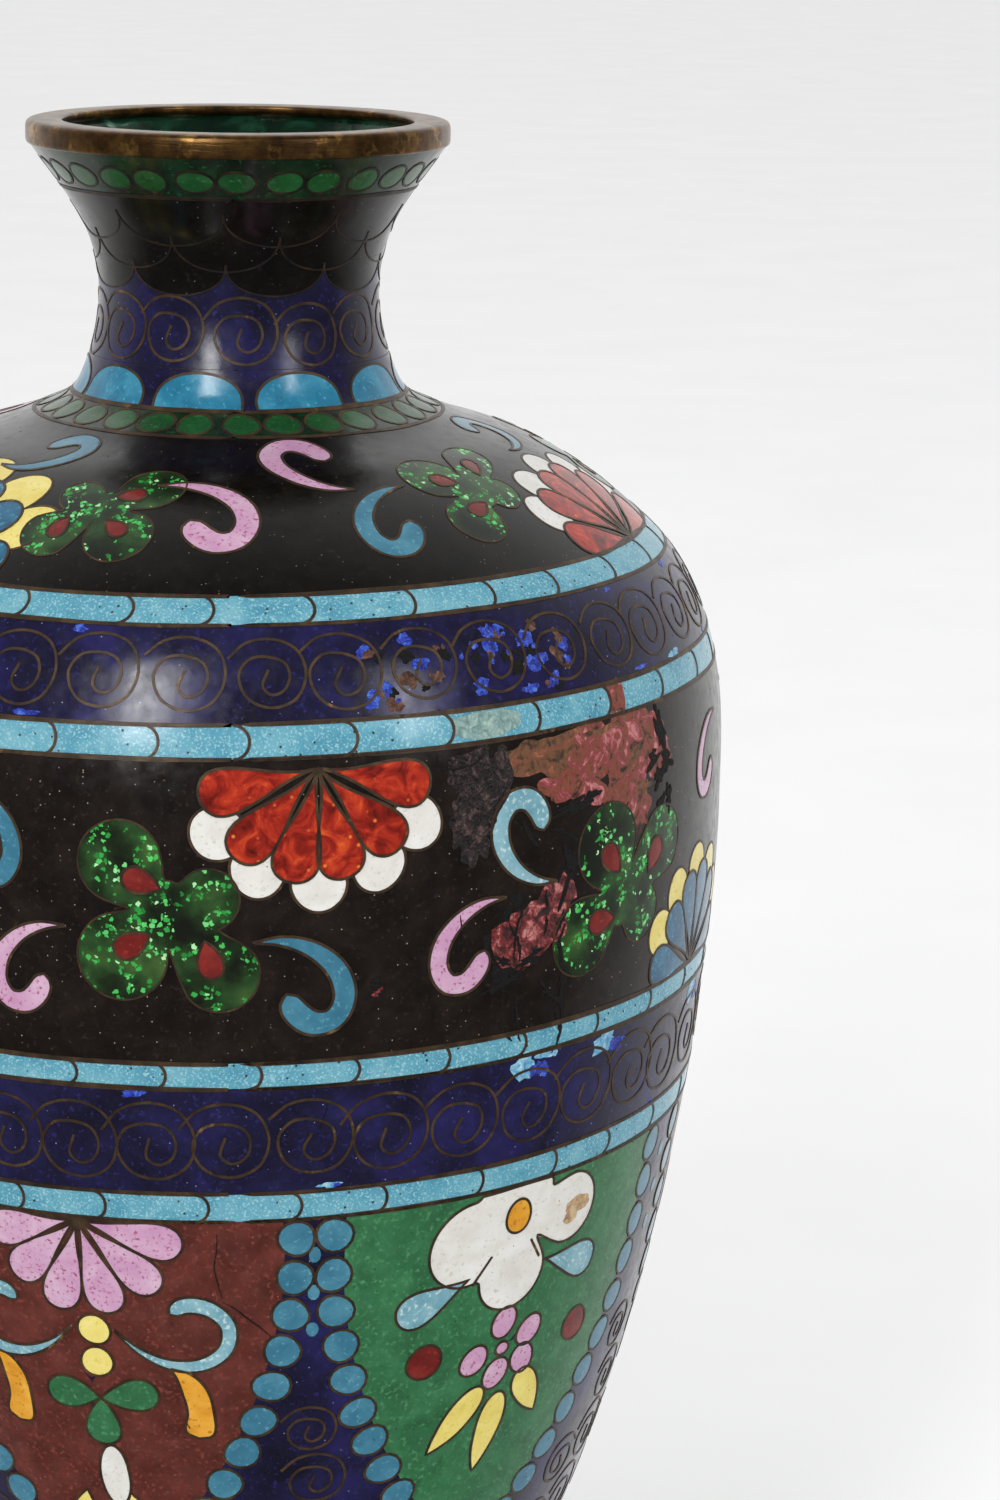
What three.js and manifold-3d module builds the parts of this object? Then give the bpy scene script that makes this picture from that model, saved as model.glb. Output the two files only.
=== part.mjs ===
// A small cloisonne baluster vase. Sheet copper is raised into a neck, a shoulder and a belly,
// brass wire is laid on the copper as rings and cells, and every cell is filled with enamel,
// fired and polished level with the wire. The inside and the underside carry a plain enamel
// that balances the outer one, and brass rings close the lip and the foot.
//
// Units are millimetres, +Z is up, and the origin is the middle of the foot's flat underside.

import * as THREE from 'three';
import { mergeVertices } from 'three/addons/utils/BufferGeometryUtils.js';
import Module from 'manifold-3d';

const wasm = await Module();
wasm.setup();

// Driving dimensions
const HEIGHT = 130;
const SIDES = 28;
const ENAMEL = 0.5;
const COPPER = 0.8;
const LINING = 0.4;
const GAP = 0.1;
const WIRE = 0.3;
const WIRE_PROUD = 0.05;
const WIRE_CLEARANCE = 0.06;

// Depths below the polished outer surface at which each layer starts and ends
const COPPER_OUTSIDE = ENAMEL + GAP;
const COPPER_INSIDE = COPPER_OUTSIDE + COPPER;
const LINING_OUTSIDE = COPPER_INSIDE + GAP;
const LINING_INSIDE = LINING_OUTSIDE + LINING;

// Heights of the wire rings that part one field of enamel from the next
const COLLAR_FOOT = 125.8;
const SCALE_FOOT = 120.9;
const NECK_SCROLL_FOOT = 114.8;
const PETAL_FOOT = 112.3;
const NECK_FOOT = 111;
const SHOULDER_FOOT = 103.6;
const BAND_1_FOOT = 102.1;
const SCROLL_1_FOOT = 96.6;
const BAND_2_FOOT = 94.6;
const GARDEN_FOOT = 75.6;
const BAND_3_FOOT = 73.9;
const SCROLL_2_FOOT = 66.8;
const BAND_4_FOOT = 64.9;
const LAPPET_FOOT = 33;
const BAND_5_FOOT = 31.2;
const WAVE_FOOT = 15;
const BAND_6_FOOT = 13.3;

// Lip, foot and seams
const LIP = { outer: 13.9, inner: 11.5, bottom: 128.6, edge: 0.3 };
const FOOT = { outer: 16.2, waist: 15.8, inner: 14.2, top: 3.8, bevel: 0.4 };
const BELLY_SEAM = 85;
const BASE = { radius: 13.8, bottom: 5.2 };

// The polished outer surface, from the lip to the foot: radius and height
const SURFACE = [
  [13.8, LIP.bottom],
  [11.75, COLLAR_FOOT],
  [10.1, 123],
  [9.45, SCALE_FOOT],
  [9.25, 118.5],
  [9.9, NECK_SCROLL_FOOT],
  [11.1, PETAL_FOOT],
  [13.6, NECK_FOOT],
  [19.4, 109],
  [24, 106.3],
  [27.3, SHOULDER_FOOT],
  [28.8, BAND_1_FOOT],
  [31.6, SCROLL_1_FOOT],
  [32.1, BAND_2_FOOT],
  [32.6, BELLY_SEAM],
  [32.05, GARDEN_FOOT],
  [31.85, BAND_3_FOOT],
  [31.05, SCROLL_2_FOOT],
  [30.75, BAND_4_FOOT],
  [28.3, 52],
  [25.6, 42],
  [22.5, LAPPET_FOOT],
  [21.8, BAND_5_FOOT],
  [17.6, 20],
  [16.3, WAVE_FOOT],
  [16, BAND_6_FOOT],
  [15.9, FOOT.top],
].map(([radius, height]) => new THREE.Vector2(radius, height));

// Heights at which the plain inner layers bend; they need fewer bends than the outside
const NECK_BENDS = [COLLAR_FOOT, 123, SCALE_FOOT, 118.5, NECK_SCROLL_FOOT, PETAL_FOOT];
const SHOULDER_BENDS = [109, 106.3, BAND_1_FOOT, SCROLL_1_FOOT];
const BELLY_BENDS = [GARDEN_FOOT, BAND_4_FOOT, 52, LAPPET_FOOT, 20, WAVE_FOOT, BAND_6_FOOT];

const FINISHES = {
  copper: { color: 0xa8623c, roughness: 0.45, metalness: 1 },
  brass: { color: 0x8a6a3a, roughness: 0.4, metalness: 1 },
  wire: { color: 0x6e4f2c, roughness: 0.45, metalness: 1 },
  counter: { color: 0x1d3a24, roughness: 0.3, metalness: 0 },
  green: { color: 0x2a6a3a, roughness: 0.25, metalness: 0 },
  black: { color: 0x231c1a, roughness: 0.22, metalness: 0 },
  navy: { color: 0x221e4c, roughness: 0.22, metalness: 0 },
  blue: { color: 0x2c8fb5, roughness: 0.28, metalness: 0 },
  turquoise: { color: 0x78bed2, roughness: 0.35, metalness: 0 },
  brick: { color: 0x642b24, roughness: 0.3, metalness: 0 },
  leaf: { color: 0x2f6b42, roughness: 0.3, metalness: 0 },
};

const materials = Object.fromEntries(
  Object.entries(FINISHES).map(([name, look]) => [name, new THREE.MeshStandardMaterial(look)]),
);

const group = new THREE.Group();

/** Adds one named piece to the vase. */
function addPiece(name, geometry, finish) {
  const mesh = new THREE.Mesh(geometry, materials[finish]);
  mesh.name = name;
  group.add(mesh);
}

/** Turns a profile, listed anticlockwise as [radius, height], about the vase's axis. */
function turned(profile) {
  const points = profile.map(([radius, height]) => new THREE.Vector2(radius, height));
  return new THREE.LatheGeometry(points, SIDES).rotateX(Math.PI / 2);
}

/** Turns a profile that closes on itself instead of on the axis. */
function turnedRing(profile) {
  return turned([...profile, profile[0]]);
}

/** The outer surface moved inwards by a depth; its two ends stay at their own heights. */
function layerAt(depth) {
  const normals = SURFACE.slice(1).map((lower, index) => {
    const run = lower.clone().sub(SURFACE[index]).normalize();
    return new THREE.Vector2(-run.y, run.x);
  });
  return SURFACE.map((point, index) => {
    const above = normals[index - 1];
    const below = normals[index];
    if (!above || !below) {
      const slant = (above ?? below).x;
      return new THREE.Vector2(point.x - depth / slant, point.y);
    }
    const mitre = above.clone().add(below).divideScalar(1 + above.dot(below));
    return point.clone().addScaledVector(mitre, -depth);
  });
}

/** The segment of the outer surface that holds a height, and how far down it the height is. */
function locate(height) {
  const last = SURFACE.length - 2;
  const below = SURFACE.findIndex((point) => point.y < height);
  const index = below < 0 ? last : Math.min(Math.max(below - 1, 0), last);
  const top = SURFACE[index];
  const bottom = SURFACE[index + 1];
  return { index, along: (top.y - height) / (top.y - bottom.y), top, bottom };
}

/** The point under a height of the outer surface, at a depth. */
function pointUnder(height, depth) {
  const layer = layerAt(depth);
  const { index, along } = locate(height);
  return layer[index].clone().lerp(layer[index + 1], along).toArray();
}

/** The height reached by moving along the surface from a height; down is positive. */
function moved(height, distance) {
  const nudge = 1e-6 * Math.sign(distance);
  const { top, bottom } = locate(height - nudge);
  return height - (distance * (top.y - bottom.y)) / top.distanceTo(bottom);
}

/** A profile of one layer between two heights, bending at the given heights. */
function layerProfile(top, bottom, outerDepth, innerDepth, bends) {
  const heights = [top, ...bends.filter((bend) => bend < top && bend > bottom), bottom];
  const outside = heights.map((height) => pointUnder(height, outerDepth));
  const inside = heights.map((height) => pointUnder(height, innerDepth));
  return [...outside.reverse(), ...inside];
}

const allBends = SURFACE.map((point) => point.y);

/** A field of enamel between the wire ring above it and the wire ring below it. */
function enamelProfile(top, bottom) {
  const clearance = WIRE / 2 + WIRE_CLEARANCE;
  const start = top === LIP.bottom ? top : moved(top, clearance);
  const end = bottom === FOOT.top ? bottom : moved(bottom, -clearance);
  return layerProfile(start, end, 0, ENAMEL, allBends);
}

// Copper body: neck tube, shoulder and belly, soldered edge to edge
const seam = GAP / 2;
const neckTop = LIP.bottom;
const wall = [COPPER_OUTSIDE, COPPER_INSIDE];
const neckWall = layerProfile(neckTop, moved(NECK_FOOT, -seam), ...wall, NECK_BENDS);
const shoulderWall = layerProfile(
  moved(NECK_FOOT, seam), moved(BELLY_SEAM, -seam), ...wall, SHOULDER_BENDS);
const bellyWall = layerProfile(moved(BELLY_SEAM, seam), FOOT.top, ...wall, BELLY_BENDS);
addPiece('copper_neck', turnedRing(neckWall), 'copper');
addPiece('copper_shoulder', turnedRing(shoulderWall), 'copper');
addPiece('copper_belly', turnedRing(bellyWall), 'copper');

// Base plate: a copper disc let into the belly, with the floor's enamel above it and the
// underside's enamel below it
function disc(radius, bottom, thickness) {
  const top = bottom + thickness;
  return turned([[0, bottom], [radius, bottom], [radius, top], [0, top]]);
}
const floorBottom = BASE.bottom + COPPER + GAP;
addPiece('copper_base', disc(BASE.radius, BASE.bottom, COPPER), 'copper');
addPiece('floor_enamel', disc(BASE.radius - LINING, floorBottom, LINING), 'counter');
addPiece('underside_enamel', disc(BASE.radius, BASE.bottom - GAP - LINING, LINING), 'counter');

// Counter-enamel inside the walls
const skin = [LINING_OUTSIDE, LINING_INSIDE];
const liningFoot = floorBottom + LINING + GAP;
const neckSkin = layerProfile(neckTop, moved(NECK_FOOT, -seam), ...skin, NECK_BENDS);
const shoulderSkin = layerProfile(
  moved(NECK_FOOT, seam), moved(BELLY_SEAM, -seam), ...skin, SHOULDER_BENDS);
const bellySkin = layerProfile(moved(BELLY_SEAM, seam), liningFoot, ...skin, BELLY_BENDS);
addPiece('neck_lining', turnedRing(neckSkin), 'counter');
addPiece('shoulder_lining', turnedRing(shoulderSkin), 'counter');
addPiece('belly_lining', turnedRing(bellySkin), 'counter');

// Brass lip ring and foot ring
const lipUnderside = LIP.bottom + GAP;
addPiece('lip_ring', turnedRing([
  [LIP.inner, lipUnderside],
  [LIP.outer, lipUnderside],
  [LIP.outer, HEIGHT - LIP.edge],
  [LIP.outer - LIP.edge, HEIGHT],
  [LIP.inner, HEIGHT],
]), 'brass');
addPiece('foot_ring', turnedRing([
  [FOOT.inner, 0],
  [FOOT.outer, 0],
  [FOOT.outer, FOOT.top - GAP - FOOT.bevel],
  [FOOT.waist, FOOT.top - GAP],
  [FOOT.inner, FOOT.top - GAP],
]), 'brass');

// Fields of enamel, from the lip down: name, top, bottom, colour
const FIELDS = [
  ['collar_beads', LIP.bottom, COLLAR_FOOT, 'green'],
  ['neck_scales', COLLAR_FOOT, SCALE_FOOT, 'black'],
  ['neck_scroll', SCALE_FOOT, NECK_SCROLL_FOOT, 'navy'],
  ['neck_petals', NECK_SCROLL_FOOT, PETAL_FOOT, 'blue'],
  ['shoulder_beads', PETAL_FOOT, NECK_FOOT, 'green'],
  ['shoulder_garden', NECK_FOOT, SHOULDER_FOOT, 'black'],
  ['turquoise_band_1', SHOULDER_FOOT, BAND_1_FOOT, 'turquoise'],
  ['scroll_band_1', BAND_1_FOOT, SCROLL_1_FOOT, 'navy'],
  ['turquoise_band_2', SCROLL_1_FOOT, BAND_2_FOOT, 'turquoise'],
  ['belly_garden', BAND_2_FOOT, GARDEN_FOOT, 'black'],
  ['turquoise_band_3', GARDEN_FOOT, BAND_3_FOOT, 'turquoise'],
  ['scroll_band_2', BAND_3_FOOT, SCROLL_2_FOOT, 'navy'],
  ['turquoise_band_4', SCROLL_2_FOOT, BAND_4_FOOT, 'turquoise'],
  ['turquoise_band_5', LAPPET_FOOT, BAND_5_FOOT, 'turquoise'],
  ['foot_waves', BAND_5_FOOT, WAVE_FOOT, 'black'],
  ['turquoise_band_6', WAVE_FOOT, BAND_6_FOOT, 'turquoise'],
  ['foot_scroll', BAND_6_FOOT, FOOT.top, 'navy'],
];
for (const [name, top, bottom, finish] of FIELDS) {
  addPiece(name, turnedRing(enamelProfile(top, bottom)), finish);
}

// Wire rings between the fields, standing on the copper and a hair proud of the enamel
const WIRES = {
  wire_under_collar: COLLAR_FOOT,
  wire_under_scales: SCALE_FOOT,
  wire_under_neck_scroll: NECK_SCROLL_FOOT,
  wire_under_petals: PETAL_FOOT,
  wire_under_neck: NECK_FOOT,
  wire_over_band_1: SHOULDER_FOOT,
  wire_under_band_1: BAND_1_FOOT,
  wire_over_band_2: SCROLL_1_FOOT,
  wire_under_band_2: BAND_2_FOOT,
  wire_over_band_3: GARDEN_FOOT,
  wire_under_band_3: BAND_3_FOOT,
  wire_over_band_4: SCROLL_2_FOOT,
  wire_under_band_4: BAND_4_FOOT,
  wire_over_band_5: LAPPET_FOOT,
  wire_under_band_5: BAND_5_FOOT,
  wire_over_band_6: WAVE_FOOT,
  wire_under_band_6: BAND_6_FOOT,
};
for (const [name, height] of Object.entries(WIRES)) {
  const start = moved(height, -WIRE / 2);
  const end = moved(height, WIRE / 2);
  addPiece(name, turnedRing(layerProfile(start, end, -WIRE_PROUD, ENAMEL, [])), 'wire');
}

/** A closed mesh as a manifold solid. */
function toSolid(geometry) {
  const bare = new THREE.BufferGeometry();
  bare.setAttribute('position', geometry.getAttribute('position').clone());
  bare.setIndex(geometry.getIndex());
  const merged = mergeVertices(bare, 1e-4);
  return new wasm.Manifold(new wasm.Mesh({
    numProp: 3,
    vertProperties: new Float32Array(merged.getAttribute('position').array),
    triVerts: new Uint32Array(merged.getIndex().array),
  }));
}

/** A manifold solid as a mesh. */
function toGeometry(solid) {
  const mesh = solid.getMesh();
  const geometry = new THREE.BufferGeometry();
  geometry.setAttribute('position', new THREE.BufferAttribute(mesh.vertProperties, 3));
  geometry.setIndex(new THREE.BufferAttribute(mesh.triVerts, 1));
  geometry.computeVertexNormals();
  return geometry;
}

// Lappets: six long leaves of enamel that hang from the fourth band to a point, brick red and
// green in turn, let into one navy ground. Each outline is half a leaf, mirrored: half width and
// height. It is cut out of the same ring as the ground, straight through towards the axis. The
// leaves are spaced by hand and eye, so their headings, from -Y towards +X, are nearly even.
const LAPPET_EDGE = [
  [13.1, BAND_4_FOOT + 1],
  [12.6, 58],
  [11, 51],
  [8.4, 45],
  [4.6, 39.5],
];
const LAPPET_TIP = 35.6;
const LAPPET_CLEARANCE = 0.3;
const LAPPET_DEGREES = [36.5, 97.5, 158.5, 219.5, 280.5, 340.5];

/** A leaf-shaped prism reaching from near the axis out through the wall, grown by a margin. */
function lappetCutter(turn, margin) {
  const right = LAPPET_EDGE.map(([half, height]) => new THREE.Vector2(half + margin, height));
  const left = right.map((point) => new THREE.Vector2(-point.x, point.y)).reverse();
  const tip = new THREE.Vector2(0, LAPPET_TIP - margin);
  const outline = new THREE.Shape([...right, tip, ...left]);
  const reach = 40;
  return new THREE.ExtrudeGeometry(outline, { depth: reach, bevelEnabled: false, steps: 1 })
    .rotateX(Math.PI / 2)
    .rotateZ(turn);
}

const lappetTop = moved(BAND_4_FOOT, WIRE / 2 + WIRE_CLEARANCE);
const lappetBottom = moved(LAPPET_FOOT, -WIRE / 2 - WIRE_CLEARANCE);
const lappetZone = toSolid(
  turnedRing(layerProfile(lappetTop, lappetBottom, 0, ENAMEL, allBends)));
let ground = lappetZone;
for (const [index, degrees] of LAPPET_DEGREES.entries()) {
  const turn = THREE.MathUtils.degToRad(degrees);
  const leaf = lappetZone.intersect(toSolid(lappetCutter(turn, 0)));
  ground = ground.subtract(toSolid(lappetCutter(turn, LAPPET_CLEARANCE)));
  const finish = index % 2 === 0 ? 'leaf' : 'brick';
  addPiece(`lappet_${index + 1}`, toGeometry(leaf), finish);
}
addPiece('lappet_ground', toGeometry(ground), 'navy');

export default group;
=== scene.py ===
# %% [markdown]
# # A cloisonne vase
# A cloisonne vase is a copper pot with a drawing on it in brass wire. Each closed loop of wire
# is a cell, and each cell is filled with ground glass, fired and polished flat. So the vase is
# built here in the same order: a turned surface, coloured grounds, cells, and wire on top.
# The turned pot already exists as a CAD frame, and the first step loads it.

# %% Load the frame
import math
import bpy
import numpy as np
from mathutils import Matrix, Vector


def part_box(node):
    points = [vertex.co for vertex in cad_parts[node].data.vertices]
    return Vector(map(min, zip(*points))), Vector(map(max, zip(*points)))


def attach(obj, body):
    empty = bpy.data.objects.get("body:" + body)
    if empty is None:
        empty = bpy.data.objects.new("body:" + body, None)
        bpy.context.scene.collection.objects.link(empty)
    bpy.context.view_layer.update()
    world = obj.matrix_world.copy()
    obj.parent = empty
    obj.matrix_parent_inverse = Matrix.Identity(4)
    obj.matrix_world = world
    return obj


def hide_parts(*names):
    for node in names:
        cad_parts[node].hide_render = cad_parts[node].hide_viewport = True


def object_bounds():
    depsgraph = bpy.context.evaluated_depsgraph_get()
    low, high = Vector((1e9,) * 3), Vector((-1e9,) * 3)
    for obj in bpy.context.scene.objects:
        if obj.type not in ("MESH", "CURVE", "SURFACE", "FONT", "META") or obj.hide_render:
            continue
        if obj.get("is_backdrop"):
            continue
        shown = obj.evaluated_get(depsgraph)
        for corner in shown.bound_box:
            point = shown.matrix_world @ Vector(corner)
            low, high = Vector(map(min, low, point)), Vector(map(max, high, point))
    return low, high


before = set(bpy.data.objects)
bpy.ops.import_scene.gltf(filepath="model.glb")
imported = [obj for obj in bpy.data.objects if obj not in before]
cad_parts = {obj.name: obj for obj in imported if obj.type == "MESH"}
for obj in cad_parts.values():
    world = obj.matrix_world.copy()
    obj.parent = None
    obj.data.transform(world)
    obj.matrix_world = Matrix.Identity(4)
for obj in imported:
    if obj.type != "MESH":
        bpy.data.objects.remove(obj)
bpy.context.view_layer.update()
MM = 0.001

# %% [markdown]
# ## The turned surface
# Every ring, petal and bead lies on one turned surface, so it is worked out once: a smooth line
# from the lip down to the foot, turned about Z. The line passes through the foot of each field
# of the pattern, where a ring of wire closes it. A place on the vase is then two numbers, as on
# a map: the angle round it, and the distance along the line. All of this is in mm.

# %% The fields from the lip down
LIP_BOTTOM = 128.6
FIELDS = [  # field, height of its foot, radius there, the ring of wire there, its enamel
    ("collar_beads", 125.8, 11.75, "wire_under_collar", "bottle_green"),
    ("neck_scales", 120.9, 9.45, "wire_under_scales", "deep_black"),
    ("neck_scroll", 114.8, 9.9, "wire_under_neck_scroll", "navy"),
    ("neck_petals", 112.3, 11.1, "wire_under_petals", "navy"),
    ("shoulder_beads", 111.0, 13.6, "wire_under_neck", "bottle_green"),
    ("shoulder_garden", 103.6, 27.3, "wire_over_band_1", "deep_black"),
    ("turquoise_band_1", 102.1, 28.8, "wire_under_band_1", "turquoise"),
    ("scroll_band_1", 96.6, 31.6, "wire_over_band_2", "navy"),
    ("turquoise_band_2", 94.6, 32.1, "wire_under_band_2", "turquoise"),
    ("belly_garden", 75.6, 32.05, "wire_over_band_3", "black"),
    ("turquoise_band_3", 73.9, 31.85, "wire_under_band_3", "turquoise"),
    ("scroll_band_2", 66.8, 31.05, "wire_over_band_4", "navy"),
    ("turquoise_band_4", 64.9, 30.75, "wire_under_band_4", "turquoise"),
    ("lappet_ground", 33.0, 22.5, "wire_over_band_5", "navy"),
    ("turquoise_band_5", 31.2, 21.8, "wire_under_band_5", "turquoise"),
    ("foot_waves", 15.0, 16.3, "wire_over_band_6", "black"),
    ("turquoise_band_6", 13.3, 16.0, "wire_under_band_6", "turquoise"),
    ("foot_scroll", 3.8, 15.9, None, "navy"),
]
OTHER_KNOTS = [
    (13.8, LIP_BOTTOM), (10.1, 123), (9.25, 118.5), (19.4, 109), (24, 106.3), (32.6, 85),
    (28.3, 52), (25.6, 42), (17.6, 20),
]
foot = {field: height for field, height, *_ in FIELDS}
top = dict(zip(foot, [LIP_BOTTOM, *foot.values()]))
print(f"{len(FIELDS)} fields from {LIP_BOTTOM} mm down to {min(foot.values())} mm")

# %% The profile through their feet
knots_down = sorted(OTHER_KNOTS + [field[2:0:-1] for field in FIELDS], key=lambda knot: -knot[1])


def smooth_curve(knots, per_span):
    """A curve through all the knots. Each span between two knots is a cubic; its slope at a
    knot is the mean of the two chords that meet there, the shorter chord counting for more."""
    knots = np.asarray(knots, float)
    chord = np.diff(knots, axis=0)
    length = np.linalg.norm(chord, axis=1, keepdims=True)
    slope = chord / length
    inner = (length[1:] * slope[:-1] + length[:-1] * slope[1:]) / (length[1:] + length[:-1])
    slopes = np.vstack([slope[:1], inner, slope[-1:]])
    t = (np.arange(per_span) / per_span)[None, :, None]
    spans = (
        (2 * t**3 - 3 * t**2 + 1) * knots[:-1, None]
        + (t**3 - 2 * t**2 + t) * (length * slopes[:-1])[:, None]
        + (3 * t**2 - 2 * t**3) * knots[1:, None]
        + (t**3 - t**2) * (length * slopes[1:])[:, None]
    )
    return np.vstack([spans.reshape(-1, 2), knots[-1:]])


profile = smooth_curve(knots_down, per_span=24)
ALONG = np.concatenate([[0], np.cumsum(np.linalg.norm(np.diff(profile, axis=0), axis=1))])
RADIUS, HEIGHT = profile.T
OUT_R, OUT_Z = -np.gradient(HEIGHT, ALONG), np.gradient(RADIUS, ALONG)
print(f"the profile is {ALONG[-1]:.1f} mm long, and {RADIUS.max():.2f} mm is its largest radius")

# %% [markdown]
# ## From the map to the vase
# A few functions turn a place on the map into a place in space. A real vase was laid out by eye,
# so its rings are not quite level: a slow wave with angle moves everything a fraction of a
# millimetre up or down, and dies out at the neck and the foot, where the brass is true.

# %% Map helpers
DRIFT = -0.5
DRIFT_START, DRIFT_END = 22.0, 112.0


def along_at(height):
    """Distance along the profile at a height."""
    return np.interp(-np.asarray(height, float), -HEIGHT, ALONG)


def radius_at(along):
    """Radius of the vase at a distance along the profile."""
    return np.interp(along, ALONG, RADIUS)


def upper(field):
    """Distance along the profile of the ring over a field."""
    return along_at(top[field])


def lower(field):
    """Distance along the profile of the ring under a field."""
    return along_at(foot[field])


def profile_at(line):
    """Radius, height, and the outward direction's two parts, at distances along the profile."""
    return [np.interp(line, ALONG, values) for values in (RADIUS, HEIGHT, OUT_R, OUT_Z)]


def drifted(angle, along):
    """The distance along the profile after the hand's slow wave: a sine once round the vase,
    times a hump that is zero at the neck and at the foot."""
    share = np.clip((along - DRIFT_START) / (DRIFT_END - DRIFT_START), 0, 1)
    return along + DRIFT * np.sqrt(np.sin(math.pi * share)) * np.sin(angle)


def turned_round(angle, radius, height):
    """Points at a radius and a height, turned about Z by the angle from -Y towards +X."""
    return np.stack([radius * np.sin(angle), -radius * np.cos(angle), height + 0 * angle], axis=-1)


def on_vase(angle, along, lift=0.0):
    """Points on the surface at an angle and a distance along the profile, moved off it by lift
    along the outward direction."""
    radius, height, out, up = profile_at(drifted(angle, along))
    return turned_round(angle, radius, height) + np.asarray(lift)[..., None] * turned_round(angle, out, up)


print(f"the hand's wave moves a ring by up to {abs(DRIFT)} mm")

# %% [markdown]
# ## One way to make every solid
# A ring, a petal, a comma and a wire are all the same thing to a mesh: a closed section carried
# along a path. The section's points are the columns of a grid and the path's steps are its
# rows. If the path does not close on itself, each end gets a middle point and a fan.

# %% Lofting sections into closed solids
SHAPES = {}
SHARP_ANGLE = math.radians(40)


def loft(sections, closed):
    """Vertices, quads and triangles of a grid of sections, shaped (steps, points, 3). Each quad
    joins point j and j + 1 of step i to the same two of step i + 1."""
    steps, points, _ = sections.shape
    grid = np.arange(steps * points).reshape(steps, points)
    here, there = (grid, np.roll(grid, -1, axis=0)) if closed else (grid[:-1], grid[1:])
    quads = np.stack([here, np.roll(here, -1, axis=1), np.roll(there, -1, axis=1), there], axis=-1)
    quads = quads.reshape(-1, 4)
    vertices = sections.reshape(-1, 3)
    if closed:
        return vertices, quads, np.zeros((0, 3), int)
    first, last = grid[0], grid[-1]
    ends = np.stack([sections[0].mean(axis=0), sections[-1].mean(axis=0)])
    start = np.stack([np.roll(first, -1), first, np.full(points, grid.size)], axis=-1)
    finish = np.stack([last, np.roll(last, -1), np.full(points, grid.size + 1)], axis=-1)
    return np.vstack([vertices, ends]), quads, np.vstack([start, finish])


def keep(piece, sections, closed=False):
    """Adds a lofted solid to a piece. Its signed volume is a sixth of the sum over triangles of
    a . (b x c), and where that is below zero its faces are turned round to point out."""
    vertices, quads, triangles = loft(np.asarray(sections, float), closed)
    halves = np.vstack([quads[:, :3], quads[:, [0, 2, 3]], triangles])
    a, b, c = np.moveaxis((vertices - vertices.mean(axis=0))[halves], 1, 0)
    if np.sum(a * np.cross(b, c)) < 0:
        quads, triangles = quads[:, ::-1], triangles[:, ::-1]
    SHAPES.setdefault(piece, []).append((vertices, quads, triangles))


def build_piece(piece, material, slot, replaced=None):
    """Makes one Blender object of all the solids kept for a piece."""
    solids = SHAPES.pop(piece)
    starts = np.cumsum([0] + [len(solid[0]) for solid in solids])
    vertices = np.vstack([solid[0] for solid in solids]) * MM
    faces = []
    for corners in (1, 2):
        numbered = [solid[corners] + start for solid, start in zip(solids, starts)]
        faces += np.vstack(numbered).tolist()
    mesh = bpy.data.meshes.new(piece)
    mesh.from_pydata(vertices, [], faces, shade_flat=False)
    mesh.set_sharp_from_angle(angle=SHARP_ANGLE)
    mesh.materials.append(material)
    made = bpy.data.objects.new(piece, mesh)
    bpy.context.scene.collection.objects.link(made)
    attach(made, "root")
    if replaced:
        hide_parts(replaced)
    print(f"{piece}: {len(solids)} solids, {len(faces)} faces")


# %% [markdown]
# ## Grounds, cells and wires
# Three kinds of solid lie on the surface. A ground is a turned ring half a millimetre deep. A
# cell is a pool of enamel: rings that grow from its middle to its outline, then go down into the
# ground, so it is closed all round. A wire is a strip on edge, 0.24 mm wide, and stands a hair
# proud, because polishing wears enamel faster than brass.

# %% Ground and cell makers
ROUND_STEPS = 240
GROUND_DEPTH, GROUND_ROW = 0.42, 0.5
JOINT = 0.02
CELL_FOOT, CELL_RING = -0.12, 1.1
CELL_LIFT, CELL_CROWN = 0.02, 0.012
FEW_POINTS = 16


def full_turn(steps=ROUND_STEPS):
    """Angles once round, for the vase or for an outline."""
    return np.arange(steps) / steps * 2 * math.pi


def add_ground(piece, high, low):
    """A turned ring between two heights: down the surface, and back half a mm under it."""
    start, end = along_at(high) + JOINT, along_at(low) - JOINT
    rows = np.linspace(start, end, max(3, math.ceil((end - start) / GROUND_ROW) + 1))
    line = np.concatenate([rows, rows[::-1]])
    lift = np.repeat([0, -GROUND_DEPTH], len(rows))
    keep(piece, on_vase(full_turn()[:, None], line[None, :], lift[None, :]), closed=True)


def add_cell(piece, outline, lift=CELL_LIFT, crown=CELL_CROWN, middle=None):
    """A pool of enamel. Each ring is the outline shrunk towards the middle by a share, with a
    ring for about every 1.1 mm. The lift falls from the crown by the square of the share."""
    middle = outline.mean(axis=0) if middle is None else np.asarray(middle)
    reach = outline - middle
    reach_mm = np.hypot(reach[:, 0] * radius_at(middle[1]), reach[:, 1]).max()
    share = np.linspace(0, 1, max(2, math.ceil(reach_mm / CELL_RING)) + 1)
    share[0] = 0.1
    if len(outline) <= FEW_POINTS:
        share = share[1:]
    share = np.append(share, 1.0)[:, None]
    lifts = lift + crown * (1 - share**2)
    lifts[-1] = CELL_FOOT
    angle, along = (middle[axis] + share * reach[:, axis] for axis in (0, 1))
    keep(piece, on_vase(angle, along, np.broadcast_to(lifts, angle.shape)))


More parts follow.
